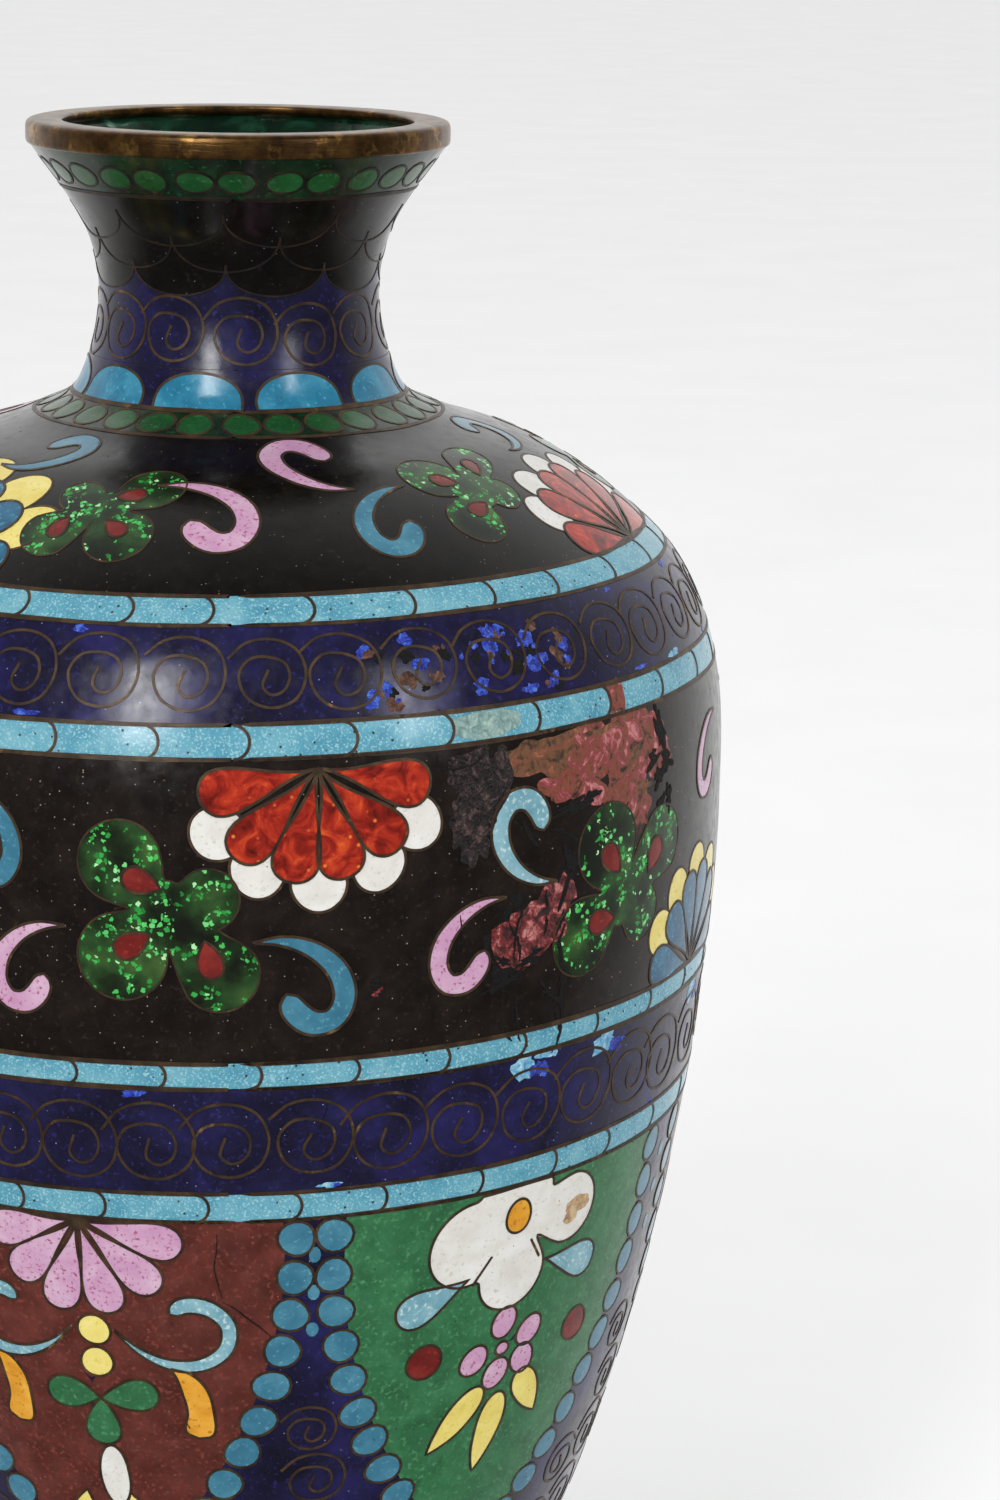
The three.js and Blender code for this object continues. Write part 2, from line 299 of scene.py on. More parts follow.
def add_ribbon(piece, spine, half_width, lift=CELL_LIFT, crown=CELL_CROWN):
    """A long curved pool: across each step of its spine lie seven points, five on top and two
    down in the ground. half_width is in mm at each step. Returns its outline."""
    radius = radius_at(spine[:, 1])
    run = np.gradient(spine, axis=0) * np.stack([radius, np.ones(len(spine))], axis=-1)
    run /= np.linalg.norm(run, axis=1, keepdims=True)
    across = np.array([-1, -1, -0.5, 0, 0.5, 1, 1]) * half_width[:, None]
    lifts = lift + crown * np.array([0, 0, 0.75, 1, 0.75, 0, 0])
    lifts[[0, -1]] = CELL_FOOT
    angle = spine[:, :1] - run[:, 1:] * across / radius[:, None]
    along = spine[:, 1:] + run[:, :1] * across
    keep(piece, on_vase(angle, along, np.broadcast_to(lifts, angle.shape)))
    edge = np.stack([angle, along], axis=-1)
    return np.vstack([edge[:, 1], edge[::-1, 5]])


# %% Wire maker
WIRE_WIDTH, WIRE_PROUD, WIRE_FOOT, WIRE_STEP = 0.24, 0.045, -0.12, 0.24
FINE_WIRE = 0.16


def evenly(path, step, closed=False):
    """A path on the map laid out again with even steps of about the given length in mm."""
    if closed:
        path = np.vstack([path, path[:1]])
    stride = np.diff(path, axis=0)
    stride[:, 0] *= radius_at((path[1:, 1] + path[:-1, 1]) / 2)
    gone = np.concatenate([[0], np.cumsum(np.linalg.norm(stride, axis=1))])
    at = np.linspace(0, gone[-1], max(4, round(gone[-1] / step)) + 1)
    if closed:
        at = at[:-1]
    return np.stack([np.interp(at, gone, path[:, 0]), np.interp(at, gone, path[:, 1])], axis=-1)


def add_wire(piece, path, closed=False, width=WIRE_WIDTH, proud=WIRE_PROUD, step=WIRE_STEP):
    """A strip of wire along a path on the map. Its section is a trapezium whose foot is in the
    ground; side is the path's direction crossed with the outward direction."""
    angle, along = evenly(path, step, closed).T
    _, _, out, up = profile_at(drifted(angle, along))
    point, outward = on_vase(angle, along), turned_round(angle, out, up)
    if closed:
        run = np.roll(point, -1, axis=0) - np.roll(point, 1, axis=0)
    else:
        run = np.gradient(point, axis=0)
    side = np.cross(run, outward)
    side /= np.linalg.norm(side, axis=1, keepdims=True)
    across = np.array([-0.5, -0.36, 0.36, 0.5])[None, :, None] * width
    rise = np.array([WIRE_FOOT, proud, proud, WIRE_FOOT])[None, :, None]
    keep(piece, point[:, None] + across * side[:, None] + rise * outward[:, None], closed)


def add_outlined(piece, wires, outline, lift=CELL_LIFT, middle=None, step=WIRE_STEP):
    """A cell and the wire round it, which rises with the cell."""
    add_cell(piece, outline, lift, middle=middle)
    add_wire(wires, outline, closed=True, proud=WIRE_PROUD + max(lift - CELL_LIFT, 0), step=step)


print(f"wire is {WIRE_WIDTH} mm wide and stands {WIRE_PROUD} mm proud of the enamel")

# %% [markdown]
# ## The outlines in the maker's pattern book
# The same few drawings come back all over the vase: a petal with a point at its root, a bead, a
# comma, a scroll and a leaf of lobes. Each is a formula in mm with its root at the origin. A
# seeded wobble keeps two copies from being twins, as with bent wire.

# %% Petals, beads and leaves
hand = np.random.default_rng(1897)


def petal(length, width, bluntness, points=40):
    """Root at the origin and tip up. Height is length * (1 - cos t) / 2, and half width is
    sin t times a power of sin(t / 2), scaled so that the widest place has the given width."""
    t = full_turn(points)
    half = np.sin(t) * np.sin(t / 2) ** bluntness
    return np.stack([half / half.max() * width / 2, length * (1 - np.cos(t)) / 2], axis=-1)


def bead(width, height, points=16):
    """An ellipse about the origin."""
    t = full_turn(points)
    return np.stack([np.cos(t) * width / 2, np.sin(t) * height / 2], axis=-1)


def lobed_leaf(lobes, waist):
    """A leaf of round lobes about a stem. Each lobe is a circle (x, y, radius); along each
    direction the outline is the far side of the farthest circle, or the waist between them."""
    t = full_turn(160)
    reach = np.full(len(t), waist)
    for x, y, radius in lobes:
        ahead, aside = x * np.cos(t) + y * np.sin(t), x * np.sin(t) - y * np.cos(t)
        far = ahead + np.sqrt(np.clip(radius**2 - aside**2, 0, None))
        reach = np.where((np.abs(aside) < radius) & (ahead > 0), np.maximum(reach, far), reach)
    reach = (np.roll(reach, 1) + 2 * reach + np.roll(reach, -1)) / 4
    return np.stack([reach * np.cos(t), reach * np.sin(t)], axis=-1)


def wobbled(outline, amount):
    """The outline with a slow random wave of the second and third order in its distance from
    the middle."""
    middle = outline.mean(axis=0)
    away = outline - middle
    t = np.arctan2(away[:, 1], away[:, 0])
    first, second = hand.uniform(0, 2 * math.pi, 2)
    grow = 1 + amount * (np.sin(2 * t + first) + 0.6 * np.sin(3 * t + second))
    return middle + away * grow[:, None]


def turned(shape, degrees, at=(0, 0)):
    """A flat drawing turned anticlockwise about the origin, then moved."""
    c, s = math.cos(math.radians(degrees)), math.sin(math.radians(degrees))
    x, y = shape[..., 0], shape[..., 1]
    return np.stack([c * x - s * y + at[0], s * x + c * y + at[1]], axis=-1)


def place(shape, angle, along, turn=0.0, flip=(1, 1), size=1.0):
    """Moves a flat drawing onto the map. Its x runs round the vase and its y up it, in mm; it is
    flipped and scaled, turned anticlockwise in degrees, and set down at an angle in degrees."""
    x, y = np.moveaxis(turned(np.asarray(shape, float) * flip * size, turn), -1, 0)
    line = along - y
    return np.stack([math.radians(angle) + x / radius_at(line), line], axis=-1)


# %% Commas and scrolls
COMMA_SPINE = smooth_curve([
    (2.4, 2.3), (1.1, 2.2), (-0.35, 1.5), (-1.35, 0.2), (-1.45, -1.05),
    (-0.85, -1.9), (0.05, -1.95), (0.8, -1.3), (1.15, -0.35),
], per_span=4)
SCROLL_SPINE = smooth_curve([
    (-1.25, 0.42), (-0.75, 0.9), (0.0, 1.05), (0.72, 0.75), (1.02, 0.0), (0.75, -0.72),
    (0.05, -1.0), (-0.68, -0.72), (-0.92, 0.0), (-0.62, 0.42), (-0.1, 0.5), (0.42, 0.3),
    (0.55, -0.12), (0.35, -0.52), (0.02, -0.62), (-0.22, -0.42), (-0.08, 0.12),
], per_span=6)


def comma_widths(count, thick):
    """Half width along a comma: it rises as a sine from the thin tail, holds, and ends round."""
    t = np.linspace(0, 1, count)
    tail = np.sin(np.clip(t / 0.45, 0, 1) * math.pi / 2)
    nose = np.sqrt(np.clip(1 - (np.clip(t - 0.9, 0, 1) / 0.1) ** 2, 0, 1))
    swell = 1 + 0.18 * np.exp(-(((t - 0.82) / 0.14) ** 2))
    return thick * np.maximum(tail * nose * swell, 0.06)


print(f"pattern book: petal, bead, leaf, comma of {len(COMMA_SPINE)} steps, scroll of {len(SCROLL_SPINE)}")

# %% [markdown]
# ## Grounds, and the rings that part them
# A field's ground is one colour of glass ground to powder, packed between two rings of wire,
# fired until it is glossy, and rubbed flat with stone. The turquoise bands are a row of bricks
# with one round end: the arc of wire stands in a continuous strip of turquoise, so only the arc
# needs making. Each arc is half an ellipse that bulges to the right.

# %% Grounds, rings and arcs
RING_WIDTH, RING_FLUSH = 0.32, -0.05
FLUSH_RINGS = ("wire_under_scales", "wire_under_neck_scroll")
BAND_ARCS = [(30, -2.2), (32, 1.8), (34, 2.2), (33, -4.2), (24, 0.0), (18, 0.0)]


def add_ring(piece, height, proud):
    """A ring of wire whose height wanders by a few hundredths of a mm as it goes round."""
    angle = full_turn(360)
    first, second = hand.uniform(0, 2 * math.pi, 2)
    wander = 0.05 * np.sin(5 * angle + first) + 0.03 * np.sin(13 * angle + second)
    path = np.stack([angle, along_at(height) + wander], axis=-1)
    add_wire(piece, path, closed=True, width=RING_WIDTH, proud=proud, step=0.6)


def add_band_arcs(number, count, start):
    """Arcs across a band: along runs from ring to ring, and the bulge is a half ellipse."""
    start_line, end_line = upper(f"turquoise_band_{number}"), lower(f"turquoise_band_{number}")
    half = (end_line - start_line) / 2
    t = np.linspace(-math.pi / 2, math.pi / 2, 15)
    for index in range(count):
        heading = math.radians(start + 360 / count * (index + hand.uniform(-0.09, 0.09)))
        bulge = half * hand.uniform(0.75, 1.0)
        angle = heading + (np.cos(t) - 1) * bulge / radius_at(start_line + half)
        path = np.stack([angle, start_line + half + half * np.sin(t)], axis=-1)
        add_wire(f"band_{number}_arcs", path)


for field in foot:
    add_ground(field + "_enamel", top[field], foot[field])
rings = {ring: height for _, height, _, ring, _ in FIELDS if ring}
for ring, height in rings.items():
    add_ring(ring + "_fine", height, RING_FLUSH if ring in FLUSH_RINGS else WIRE_PROUD)
for number, (count, start) in enumerate(BAND_ARCS, start=1):
    add_band_arcs(number, count, start)
print(f"{len(foot)} grounds, {len(rings)} rings and {len(BAND_ARCS)} rows of arcs")

# %% [markdown]
# ## Scrolls
# A scroll starts on the shoulder of the one before, goes once round and curls in to a short
# straight hook. It is one smooth curve of seventeen knots on a circle of radius 1, bent afresh
# for each copy by a small turn and stretch.

# %% Scroll bands
SCROLLS = [  # field, how many, first heading, radius, how far below the field's middle
    ("neck_scroll", 13, 2.0, 2.05, 0.8),
    ("scroll_band_1", 39, 2.7, 2.2, 0.0),
    ("scroll_band_2", 40, -1.1, 2.45, 0.0),
    ("foot_scroll", 22, 3.0, 2.3, 0.0),
]
for field, count, start, radius, drop in SCROLLS:
    middle = (upper(field) + lower(field)) / 2 + drop
    for index in range(count):
        heading = start + 360 / count * (index + hand.uniform(-0.08, 0.08))
        size = radius * hand.uniform(0.94, 1.04)
        line = middle + hand.uniform(-0.25, 0.25)
        path = place(SCROLL_SPINE, heading, line, hand.uniform(-8, 8), size=size)
        add_wire(field + "_wires", path)
print("scrolls on the neck, in two bands and above the foot")

# %% [markdown]
# ## The neck
# From the lip down: green beads, three rows of hanging scales drawn in wire, of which the last
# hangs over the navy, scrolls, and blue half-discs that stand on a second row of green beads.

# %% Neck beads, scales and half-discs
NECK_BEADS, SCALES, HALF_DISCS = 28, 9, 10
NECK_BEAD_ROWS = [  # piece, wires, field, height of a bead, how far below the field's middle
    ("collar_green_beads", "neck_scale_wires", "collar_beads", 1.85, 0.35),
    ("shoulder_green_beads", "neck_wires", "shoulder_beads", 2.3, 0.0),
]
SCALE_ROWS = [(-0.6, 2.1), (-2.5, 2.4), (-4.2, 2.4)]


def scale_arc(heading, count, line, drop, power, points):
    """A scale, one of count round the vase, as an arc of wire from side to side of its heading:
    it leaves its line by drop times a power of the sine."""
    t = np.linspace(0, math.pi, points)
    angle = math.radians(heading) - math.pi / count * np.cos(t)
    return np.stack([angle, line + drop * np.sin(t) ** power], axis=-1)


for piece, wires, field, tall, drop in NECK_BEAD_ROWS:
    middle = (upper(field) + lower(field)) / 2 + drop
    for index in range(NECK_BEADS):
        outline = wobbled(bead(2.45, tall), 0.04)
        heading = 360 / NECK_BEADS * (index + hand.uniform(-0.06, 0.06))
        add_outlined(piece, wires, place(outline, heading, middle))
for row, (below, drop) in enumerate(SCALE_ROWS):
    for index in range(SCALES):
        heading = 360 / SCALES * (index + 0.5 * row) + 14.8
        path = scale_arc(heading, SCALES, lower("neck_scales") + below, drop, 0.8, 25)
        add_wire("neck_scale_wires", path, width=FINE_WIRE)
        if row == 0:
            hanging = evenly(np.vstack([path, path[:1]]), 0.4)[:-1]
            add_cell("neck_black_scales", hanging, lift=0.012, crown=0.0)
disc_foot = lower("neck_petals") - 0.06
for index in range(HALF_DISCS):
    t = np.linspace(0, math.pi, 25)
    outline = np.stack([3.0 * np.cos(t), 2.5 * np.sin(t) ** 0.75], axis=-1)
    heading = 360 / HALF_DISCS * (index + hand.uniform(-0.04, 0.04)) + 22
    outline = evenly(place(outline, heading, disc_foot), 0.4, closed=True)
    middle = [math.radians(heading), disc_foot - 0.9]
    add_outlined("neck_blue_half_discs", "neck_wires", outline, middle=middle)
print(f"{NECK_BEADS} beads in a row, {SCALES} scales, {HALF_DISCS} half-discs")

# %% [markdown]
# ## Half-flowers
# A half-flower grows out of a ring of wire: six petals fan out from one root, and round cells
# fill the notches between their tips. The round cells are laid first and the petals over them,
# which is how the notch cells get their crescent shape.

# %% Half-flower maker
PETAL_SPREAD = (-77, -44, -14, 14, 44, 77)
NOTCH_SPREAD = (-58, -31, 0, 31, 58)
PETAL_LENGTH, PETAL_WIDTH, PETAL_BLUNTNESS = 7.8, 3.1, 3.0
NOTCH_REACH, NOTCH_WIDTH = 7.7, 3.7


def add_half_flower(garden, petals, notches, heading, along, base, size):
    """Petals and notch cells turned about a root on a ring. It stands if base is 0 degrees, and
    hangs if base is 180."""
    wires = garden + "_wires"
    for spread in NOTCH_SPREAD:
        turn = math.radians(spread + base)
        reach = NOTCH_REACH * size
        outline = wobbled(bead(NOTCH_WIDTH * size, NOTCH_WIDTH * size, 28), 0.03)
        outline = place(outline + (-reach * math.sin(turn), reach * math.cos(turn)), heading, along)
        add_cell(f"{garden}_{notches}_notches", outline, lift=0.006, crown=0.006)
        add_wire(wires, outline, closed=True, proud=WIRE_PROUD - 0.025)
    for spread in PETAL_SPREAD:
        length = PETAL_LENGTH * size * hand.uniform(0.97, 1.03)
        outline = wobbled(petal(length, PETAL_WIDTH * size, PETAL_BLUNTNESS), 0.012)
        outline = place(outline, heading, along, spread + base)
        add_outlined(f"{garden}_{petals}_petals", wires, outline, lift=0.035)


print("half-flowers have", len(PETAL_SPREAD), "petals and", len(NOTCH_SPREAD), "notch cells")

# %% [markdown]
# ## Planting the two gardens
# The leaves are a dark green glass full of bright flakes. Each has three big lobes and a small
# one, with a red drop in every big lobe. The commas are curved ribbons with a thin tail. The
# pattern repeats three times round the vase, every 120 degrees, so one list of places serves for
# each garden. A place is an angle in degrees and a distance below the field's upper ring.

# %% Places in the two gardens
LEAF_LOBES = [(-2.7, 3.2, 2.75), (-2.6, -3.0, 2.95), (3.6, -4.1, 2.6), (2.9, 0.8, 2.05)]
LEAF_DROPS = [(-0.1, 1.5, 70), (-0.8, -1.5, 121), (2.7, -1.9, 193)]
TAIL_RIGHT, TAIL_LEFT = (1, 1), (-1, 1)
TAIL_RIGHT_LOW, TAIL_LEFT_LOW = (1, -1), (-1, -1)
SHOULDER_COMMAS = [
    ("pink", -4.2, 9.0, 8, TAIL_LEFT, 1.34),
    ("pink", 13.2, 3.7, -8, TAIL_RIGHT_LOW, 1.3),
    ("blue", 23.5, 10.2, 8, TAIL_RIGHT, 1.2),
    ("blue", -43, 3.6, -6, TAIL_LEFT_LOW, 1.1),
]
BELLY_COMMAS = [
    ("pink", -24, 13.2, 0, TAIL_RIGHT, 1.2),
    ("blue", -28.5, 5.2, 0, TAIL_LEFT, 1.3),
    ("blue", 7.4, 14.0, 6, TAIL_LEFT, 1.34),
    ("pink", 24.8, 12.7, 0, TAIL_RIGHT, 1.2),
    ("pale", 32.1, 6.4, -6, TAIL_RIGHT_LOW, 1.25),
    ("pink", 69, 5.2, 0, TAIL_RIGHT, 1.1),
]
SHOULDER_LEAVES = [(-22, 8.8, -8, (-1, 1)), (43.5, 8.7, 2, (1, -1))]
BELLY_LEAVES = [(-8.4, 9.3, 0, (1, 1)), (47.2, 11.7, -20, (1, -1))]
print(f"{len(SHOULDER_COMMAS)} commas on the shoulder and {len(BELLY_COMMAS)} on the belly, each repeat")

# %% Plant the shoulder and the belly
REPEATS = 3


def add_comma(piece, wires, spine, thick, lift=CELL_LIFT, proud=WIRE_PROUD):
    """A comma of enamel along a spine, and the wire round it."""
    outline = add_ribbon(piece, spine, comma_widths(len(spine), thick), lift)
    add_wire(wires, outline, closed=True, proud=proud)


def plant(garden, around, commas, leaves, thick, leaf_size):
    """Sets out a garden's commas, then its leaves with a red drop in each big lobe."""
    wires, line = garden + "_wires", upper(garden + "_garden")
    for tint, heading, below, turn, flip, size in commas:
        spine = place(COMMA_SPINE, around + heading, line + below, turn, flip, size)
        add_comma(f"{garden}_{tint}_commas", wires, spine, thick * size)
    for heading, below, turn, flip in leaves:
        spot = (around + heading, line + below, turn, flip, leaf_size)
        leaf = place(lobed_leaf(LEAF_LOBES, 2.1), *spot)
        add_cell(garden + "_leaves", leaf, middle=[math.radians(around + heading), line + below])
        add_wire(wires, leaf, closed=True, width=FINE_WIRE)
        for x, y, lean in LEAF_DROPS:
            drop = place(turned(petal(2.6, 1.7, 0.8, 24), lean, (x, y)), *spot)
            add_outlined(garden + "_drops", wires, drop, lift=0.045)


for repeat in range(REPEATS):
    around = 360 / REPEATS * repeat
    tints = ("red", "white") if repeat == 1 else ("blue", "yellow")
    heading, size = (around - 52, 1.12) if repeat == 0 else (around - 50, 0.96)
    add_half_flower("shoulder", *tints, heading, lower("shoulder_garden"), 0, size)
    plant("shoulder", around, SHOULDER_COMMAS, SHOULDER_LEAVES, 0.58, 0.73)
    add_half_flower("belly", "red", "white", around + 8.2, upper("belly_garden") + 0.65, 180, 0.93)
    add_half_flower("belly", "blue", "yellow", around + 66.5, lower("belly_garden"), 0, 0.87)
    plant("belly", around, BELLY_COMMAS, BELLY_LEAVES, 0.52, 0.95)
print(f"{REPEATS} repeats planted in each garden")

# %% [markdown]
# ## The lappets
# Six tall tongues of brick red and leaf green hang below the fourth band. Each has a row of
# turquoise beads along its edge, and navy with scrolls shows between them. The edge is a line of
# half widths against height, so a tongue is a cell whose outline is that line and its mirror.

# %% Lappets with their beads
LAPPET_HEADINGS = (36.5, 97.5, 158.5, 219.5, 280.5, 340.5)
LAPPET_EDGE = smooth_curve([
    (13.8, 64.9), (13.4, 60), (12.5, 56), (9.5, 48.5), (6.1, 43), (2.6, 38.6), (0.0, 36.6),
], per_span=8)
BEAD_PITCH = 2.78
lappet_line = upper("lappet_ground")


def lappet_edge(heading, side, inset):
    """One edge of a lappet on the map: the heading plus half width over radius, the half width
    less an inset in mm."""
    half, height = LAPPET_EDGE.T
    half = np.clip(half - inset * half / (half + 0.8), 0, None)
    along = along_at(height) - inset * 1.2 * np.linspace(0, 1, len(height)) ** 3
    return np.stack([math.radians(heading) + side * half / radius_at(along), along], axis=-1)


def gap_after(heading):
    """The heading of the navy gap to the right of a lappet; the last gap is narrower."""
    return heading + 30.5 - 2.5 * (heading > 330)


for number, heading in enumerate(LAPPET_HEADINGS, start=1):
    left, right = lappet_edge(heading, -1, 0.75), lappet_edge(heading, 1, 0.75)
    across = np.linspace(right[0], left[0], 40)[1:-1]
    outline = evenly(np.vstack([left, right[-2::-1], across]), 0.6, closed=True)
    middle = [math.radians(heading), lappet_line + 12]
    add_cell(f"lappet_{number}_enamel", outline, lift=0.015, crown=0.0, middle=middle)
    for side in (-1, 1):
        marks = evenly(lappet_edge(heading, side, 0.0), BEAD_PITCH)
        for at, line in (marks[1:] + marks[:-1]) / 2:
            jitter = hand.uniform(-0.08, 0.08)
            outline = place(wobbled(bead(2.46, 2.42, 14), 0.05), math.degrees(at), line + jitter)
            add_outlined("lappet_beads", "lappet_bead_wires", outline, lift=0.03, step=0.5)
for heading in LAPPET_HEADINGS:
    for drop in (2.6, 5.3, 8.0):
        outline = place(wobbled(bead(0.8, 1.1, 10), 0.05), gap_after(heading), lappet_line + drop)
        add_cell("lappet_beads", outline)
print(f"{len(LAPPET_HEADINGS)} lappets, each with a bead every {BEAD_PITCH} mm of its edge")

# %% [markdown]
# ## Flowers on the lappets
# The red tongues carry a pink half-flower with dots, a green clover, a white drop and scrolling
# stems; the green ones a white blossom with a pink flower and three yellow leaves. Each is a
# short list of cells, with its place in mm from the middle of the tongue's upper edge.

# %% Cells and stems on a lappet
STEM_SPINE = smooth_curve([
    (1.4, 8.0), (3.0, 9.5), (5.0, 10.4), (7.0, 10.3), (8.5, 9.1),
    (8.7, 7.4), (7.6, 6.2), (6.0, 6.0), (5.1, 6.6),
], per_span=4)
AMBER_SPINE = smooth_curve([
    (-1.3, -2.9), (-0.5, -2.2), (0.1, -1.0), (0.3, 0.4), (0.2, 1.5), (0.0, 2.4),
], per_span=4)
BLOSSOM_LOBES = [
    (-3.5, 1.3, 3.0), (0.2, 4.3, 2.6), (4.6, 0.7, 2.5), (1.2, -1.4, 1.5), (-1.6, -0.8, 2.0),
]


def on_lappet(heading, drawing):
    """A drawing with x across and y down from the lappet's upper edge, moved onto the map."""
    return place(drawing, heading, lappet_line, flip=(1, -1))


def lappet_cell(tint, heading, shape, lift=0.03):
    """One outlined cell of a lappet's drawing."""
    add_outlined("lappet_" + tint, "lappet_wires", on_lappet(heading, wobbled(shape, 0.02)), lift)


def lappet_comma(tint, heading, spine, thick):
    """One curved ribbon of a lappet's drawing."""
    spine = on_lappet(heading, spine)
    add_comma("lappet_" + tint, "lappet_wires", spine, thick, 0.035, WIRE_PROUD + 0.01)


print(f"a stem has {len(STEM_SPINE)} steps, and a blossom {len(BLOSSOM_LOBES)} lobes")


# %% The drawings on a red and a green lappet
def draw_red_lappet(heading):
    """Pink half-flower, dots, clover, white drop, amber drops and scrolling stems."""
    for spread in (-76, -46, -15, 15, 46, 76):
        shape = turned(petal(6.6 + hand.uniform(-0.2, 0.3), 2.6, 2.6), -spread, (0, 0.2))
        lappet_cell("pink", heading, shape)
    for y in (8.1, 10.5):
        lappet_cell("yellow", heading, bead(2.2, 2.2, 24) + (0.5, y))
    for turn, length in ((-100, 3.9), (96, 3.7), (2, 3.6)):
        lappet_cell("clover", heading, turned(petal(length, 2.4, 0.9), turn, (0.5, 13.3)))
    lappet_cell("white", heading, bead(2.0, 4.8, 28) + (0.8, 19.4))
    for side in (-1, 1):
        lappet_comma("stems", heading, STEM_SPINE * (side, 1) + (0.4, 0), 0.5)
        lappet_comma("amber", heading, AMBER_SPINE + (6.1 * side + 0.5, 13.6), 0.82)
        leaf = turned(petal(4.4, 2.0, 0.8), -12 * side, (1.5 * side + 0.2, 20.8))
        lappet_cell("yellow", heading, leaf)


def draw_green_lappet(heading):
    """White blossom with an amber eye, pale drops, red berries, pink flower, yellow leaves."""
    eye = np.array([-0.7, 2.2])
    blossom = lobed_leaf(BLOSSOM_LOBES, 2.7) + eye
    blossom[:, 1] = np.maximum(blossom[:, 1], 0.15)
    lappet_cell("white", heading, blossom)
    lappet_cell("amber", heading, bead(2.0, 2.4, 24) + (-0.7, 2.3), lift=0.055)
    for notch in ((-2.5, 3.7), (1.9, 3.0)):
        crease = eye + np.outer([0.7, 1.2], notch)
        add_wire("lappet_wires", on_lappet(heading, crease), proud=WIRE_PROUD + 0.025)
    for lean, x, y in ((66, -4.0, 6.1), (-74, 2.2, 6.2)):
        lappet_cell("stems", heading, turned(petal(5.3, 2.6, 1.9), lean, (x, y)))
    for spot in ((-6.4, 11.7), (6.5, 12.4)):
        lappet_cell("berries", heading, bead(2.5, 2.5, 24) + spot)
    for x, y, lean in (
        (-0.6, 10.1, 20), (1.75, 11.3, 32), (-2.6, 12.5, 40), (-0.6, 13.95, 22), (1.55, 13.4, -20),
    ):
        lappet_cell("pink", heading, turned(bead(2.0, 2.35, 24), lean, (x, y)))
    lappet_cell("pink", heading, bead(1.1, 1.0) + (-0.4, 12.1))
    for lean, length, x, y in ((38, 5.6, -1.5, 14.8), (9, 6.0, 0.1, 15.6), (-30, 4.4, 1.6, 14.4)):
        leaf = petal(length, 2.2, 0.8) * (1, -1) + (0, length)
        lappet_cell("yellow", heading, turned(leaf, lean, (x, y)))


# %% Draw the lappets, and scrolls in the gaps between them
for number, heading in enumerate(LAPPET_HEADINGS, start=1):
    draw_lappet = draw_green_lappet if number % 2 else draw_red_lappet
    draw_lappet(heading)
    gap = gap_after(heading)
    for drop, size in ((15.6, 1.6), (19.6, 1.85), (24.0, 2.1), (28.6, 2.1)):
        path = SCROLL_SPINE + (0.5 * hand.uniform(-1, 1), 0)
        add_wire("lappet_wires", place(path, gap, lappet_line + drop, size=size))
    for drop, aside in ((24.0, 4.2), (28.6, 5.6)):
        for side in (-1, 1):
            spot = gap + math.degrees(side * aside / radius_at(lappet_line + drop))
            path = place(SCROLL_SPINE, spot, lappet_line + drop + 0.6, flip=(side, 1), size=1.7)
            add_wire("lappet_wires", path)
print("lappet drawings done")

# %% [markdown]
# ## Below the lappets
# A band of scales stands on the foot: rows of arcs, each row half a scale on from the one above,
# with a dot of colour in every scale. The arcs are wire only, set in the black ground.

# %% Scales above the foot
FOOT_SCALE_ROWS, FOOT_SCALES = 4, 18
row_height = (lower("foot_waves") - upper("foot_waves")) / FOOT_SCALE_ROWS
for row in range(FOOT_SCALE_ROWS):
    base = upper("foot_waves") + row_height * (row + 1)
    for index in range(FOOT_SCALES):
        heading = 360 / FOOT_SCALES * (index + 0.5 * (row % 2))
        path = scale_arc(heading, FOOT_SCALES, base, -0.92 * row_height, 0.7, 21)
        add_wire("foot_scale_wires", path)
        dot = place(bead(1.9, 1.7, 14), heading, base - 0.45 * row_height)
        add_outlined(f"foot_{('blue', 'green')[row % 2]}_dots", "foot_scale_wires", dot, step=0.5)
print(f"{FOOT_SCALE_ROWS * FOOT_SCALES} scales above the foot")

# %% [markdown]
# ## Turned brass and the inside
# The lip and the foot are rings of thick brass, filed round and rubbed by hands. Their section
# is a superellipse, a square with soft corners. The inside and the underside are counter-
# enamel: glass fired on the hidden face so that the copper does not warp.

# %% Lip and foot
def add_turned(piece, line, closed=True):
    """A profile of (radius, height) turned about Z. It closes on itself, or on the axis."""
    radius, height = line.T[:, :, None]
    keep(piece, turned_round(full_turn()[None, :], radius, height), closed)


def soft_square(low, high, power):
    """A superellipse between two corners: cosine and sine each raised to 2 / power."""
    t = full_turn(56)
    wave = np.stack([np.cos(t), np.sin(t)], axis=-1)
    corner = np.sign(wave) * np.abs(wave) ** (2 / power)
    return np.add(high, low) / 2 + np.subtract(high, low) / 2 * corner


LIP_WIDTH, LIP_SKIRT, LIP_INNER_SHARE, FOOT_WIDTH = 2.4, 0.45, 0.32, 2.0
lip_low, lip_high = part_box("lip_ring")
foot_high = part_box("foot_ring")[1]
lip_outer, lip_top, foot_outer = lip_high.x / MM, lip_high.z / MM, foot_high.x / MM
lip_corner = (lip_outer - LIP_WIDTH, lip_low.z / MM - LIP_SKIRT)
lip_section = soft_square(lip_corner, (lip_outer, lip_top), 4.5)
outward_share = (lip_section[:, 0] - lip_outer + LIP_WIDTH) / LIP_WIDTH
tallness = LIP_INNER_SHARE + (1 - LIP_INNER_SHARE) * outward_share
lip_section[:, 1] = lip_top - (lip_top - lip_section[:, 1]) * tallness
add_turned("lip_ring_turned", lip_section)
add_turned("foot_ring_turned", soft_square((foot_outer - FOOT_WIDTH, 0), (foot_outer, foot_high.z / MM), 9.0))
print(f"lip {lip_outer:.1f} mm and foot {foot_outer:.1f} mm in outer radius")

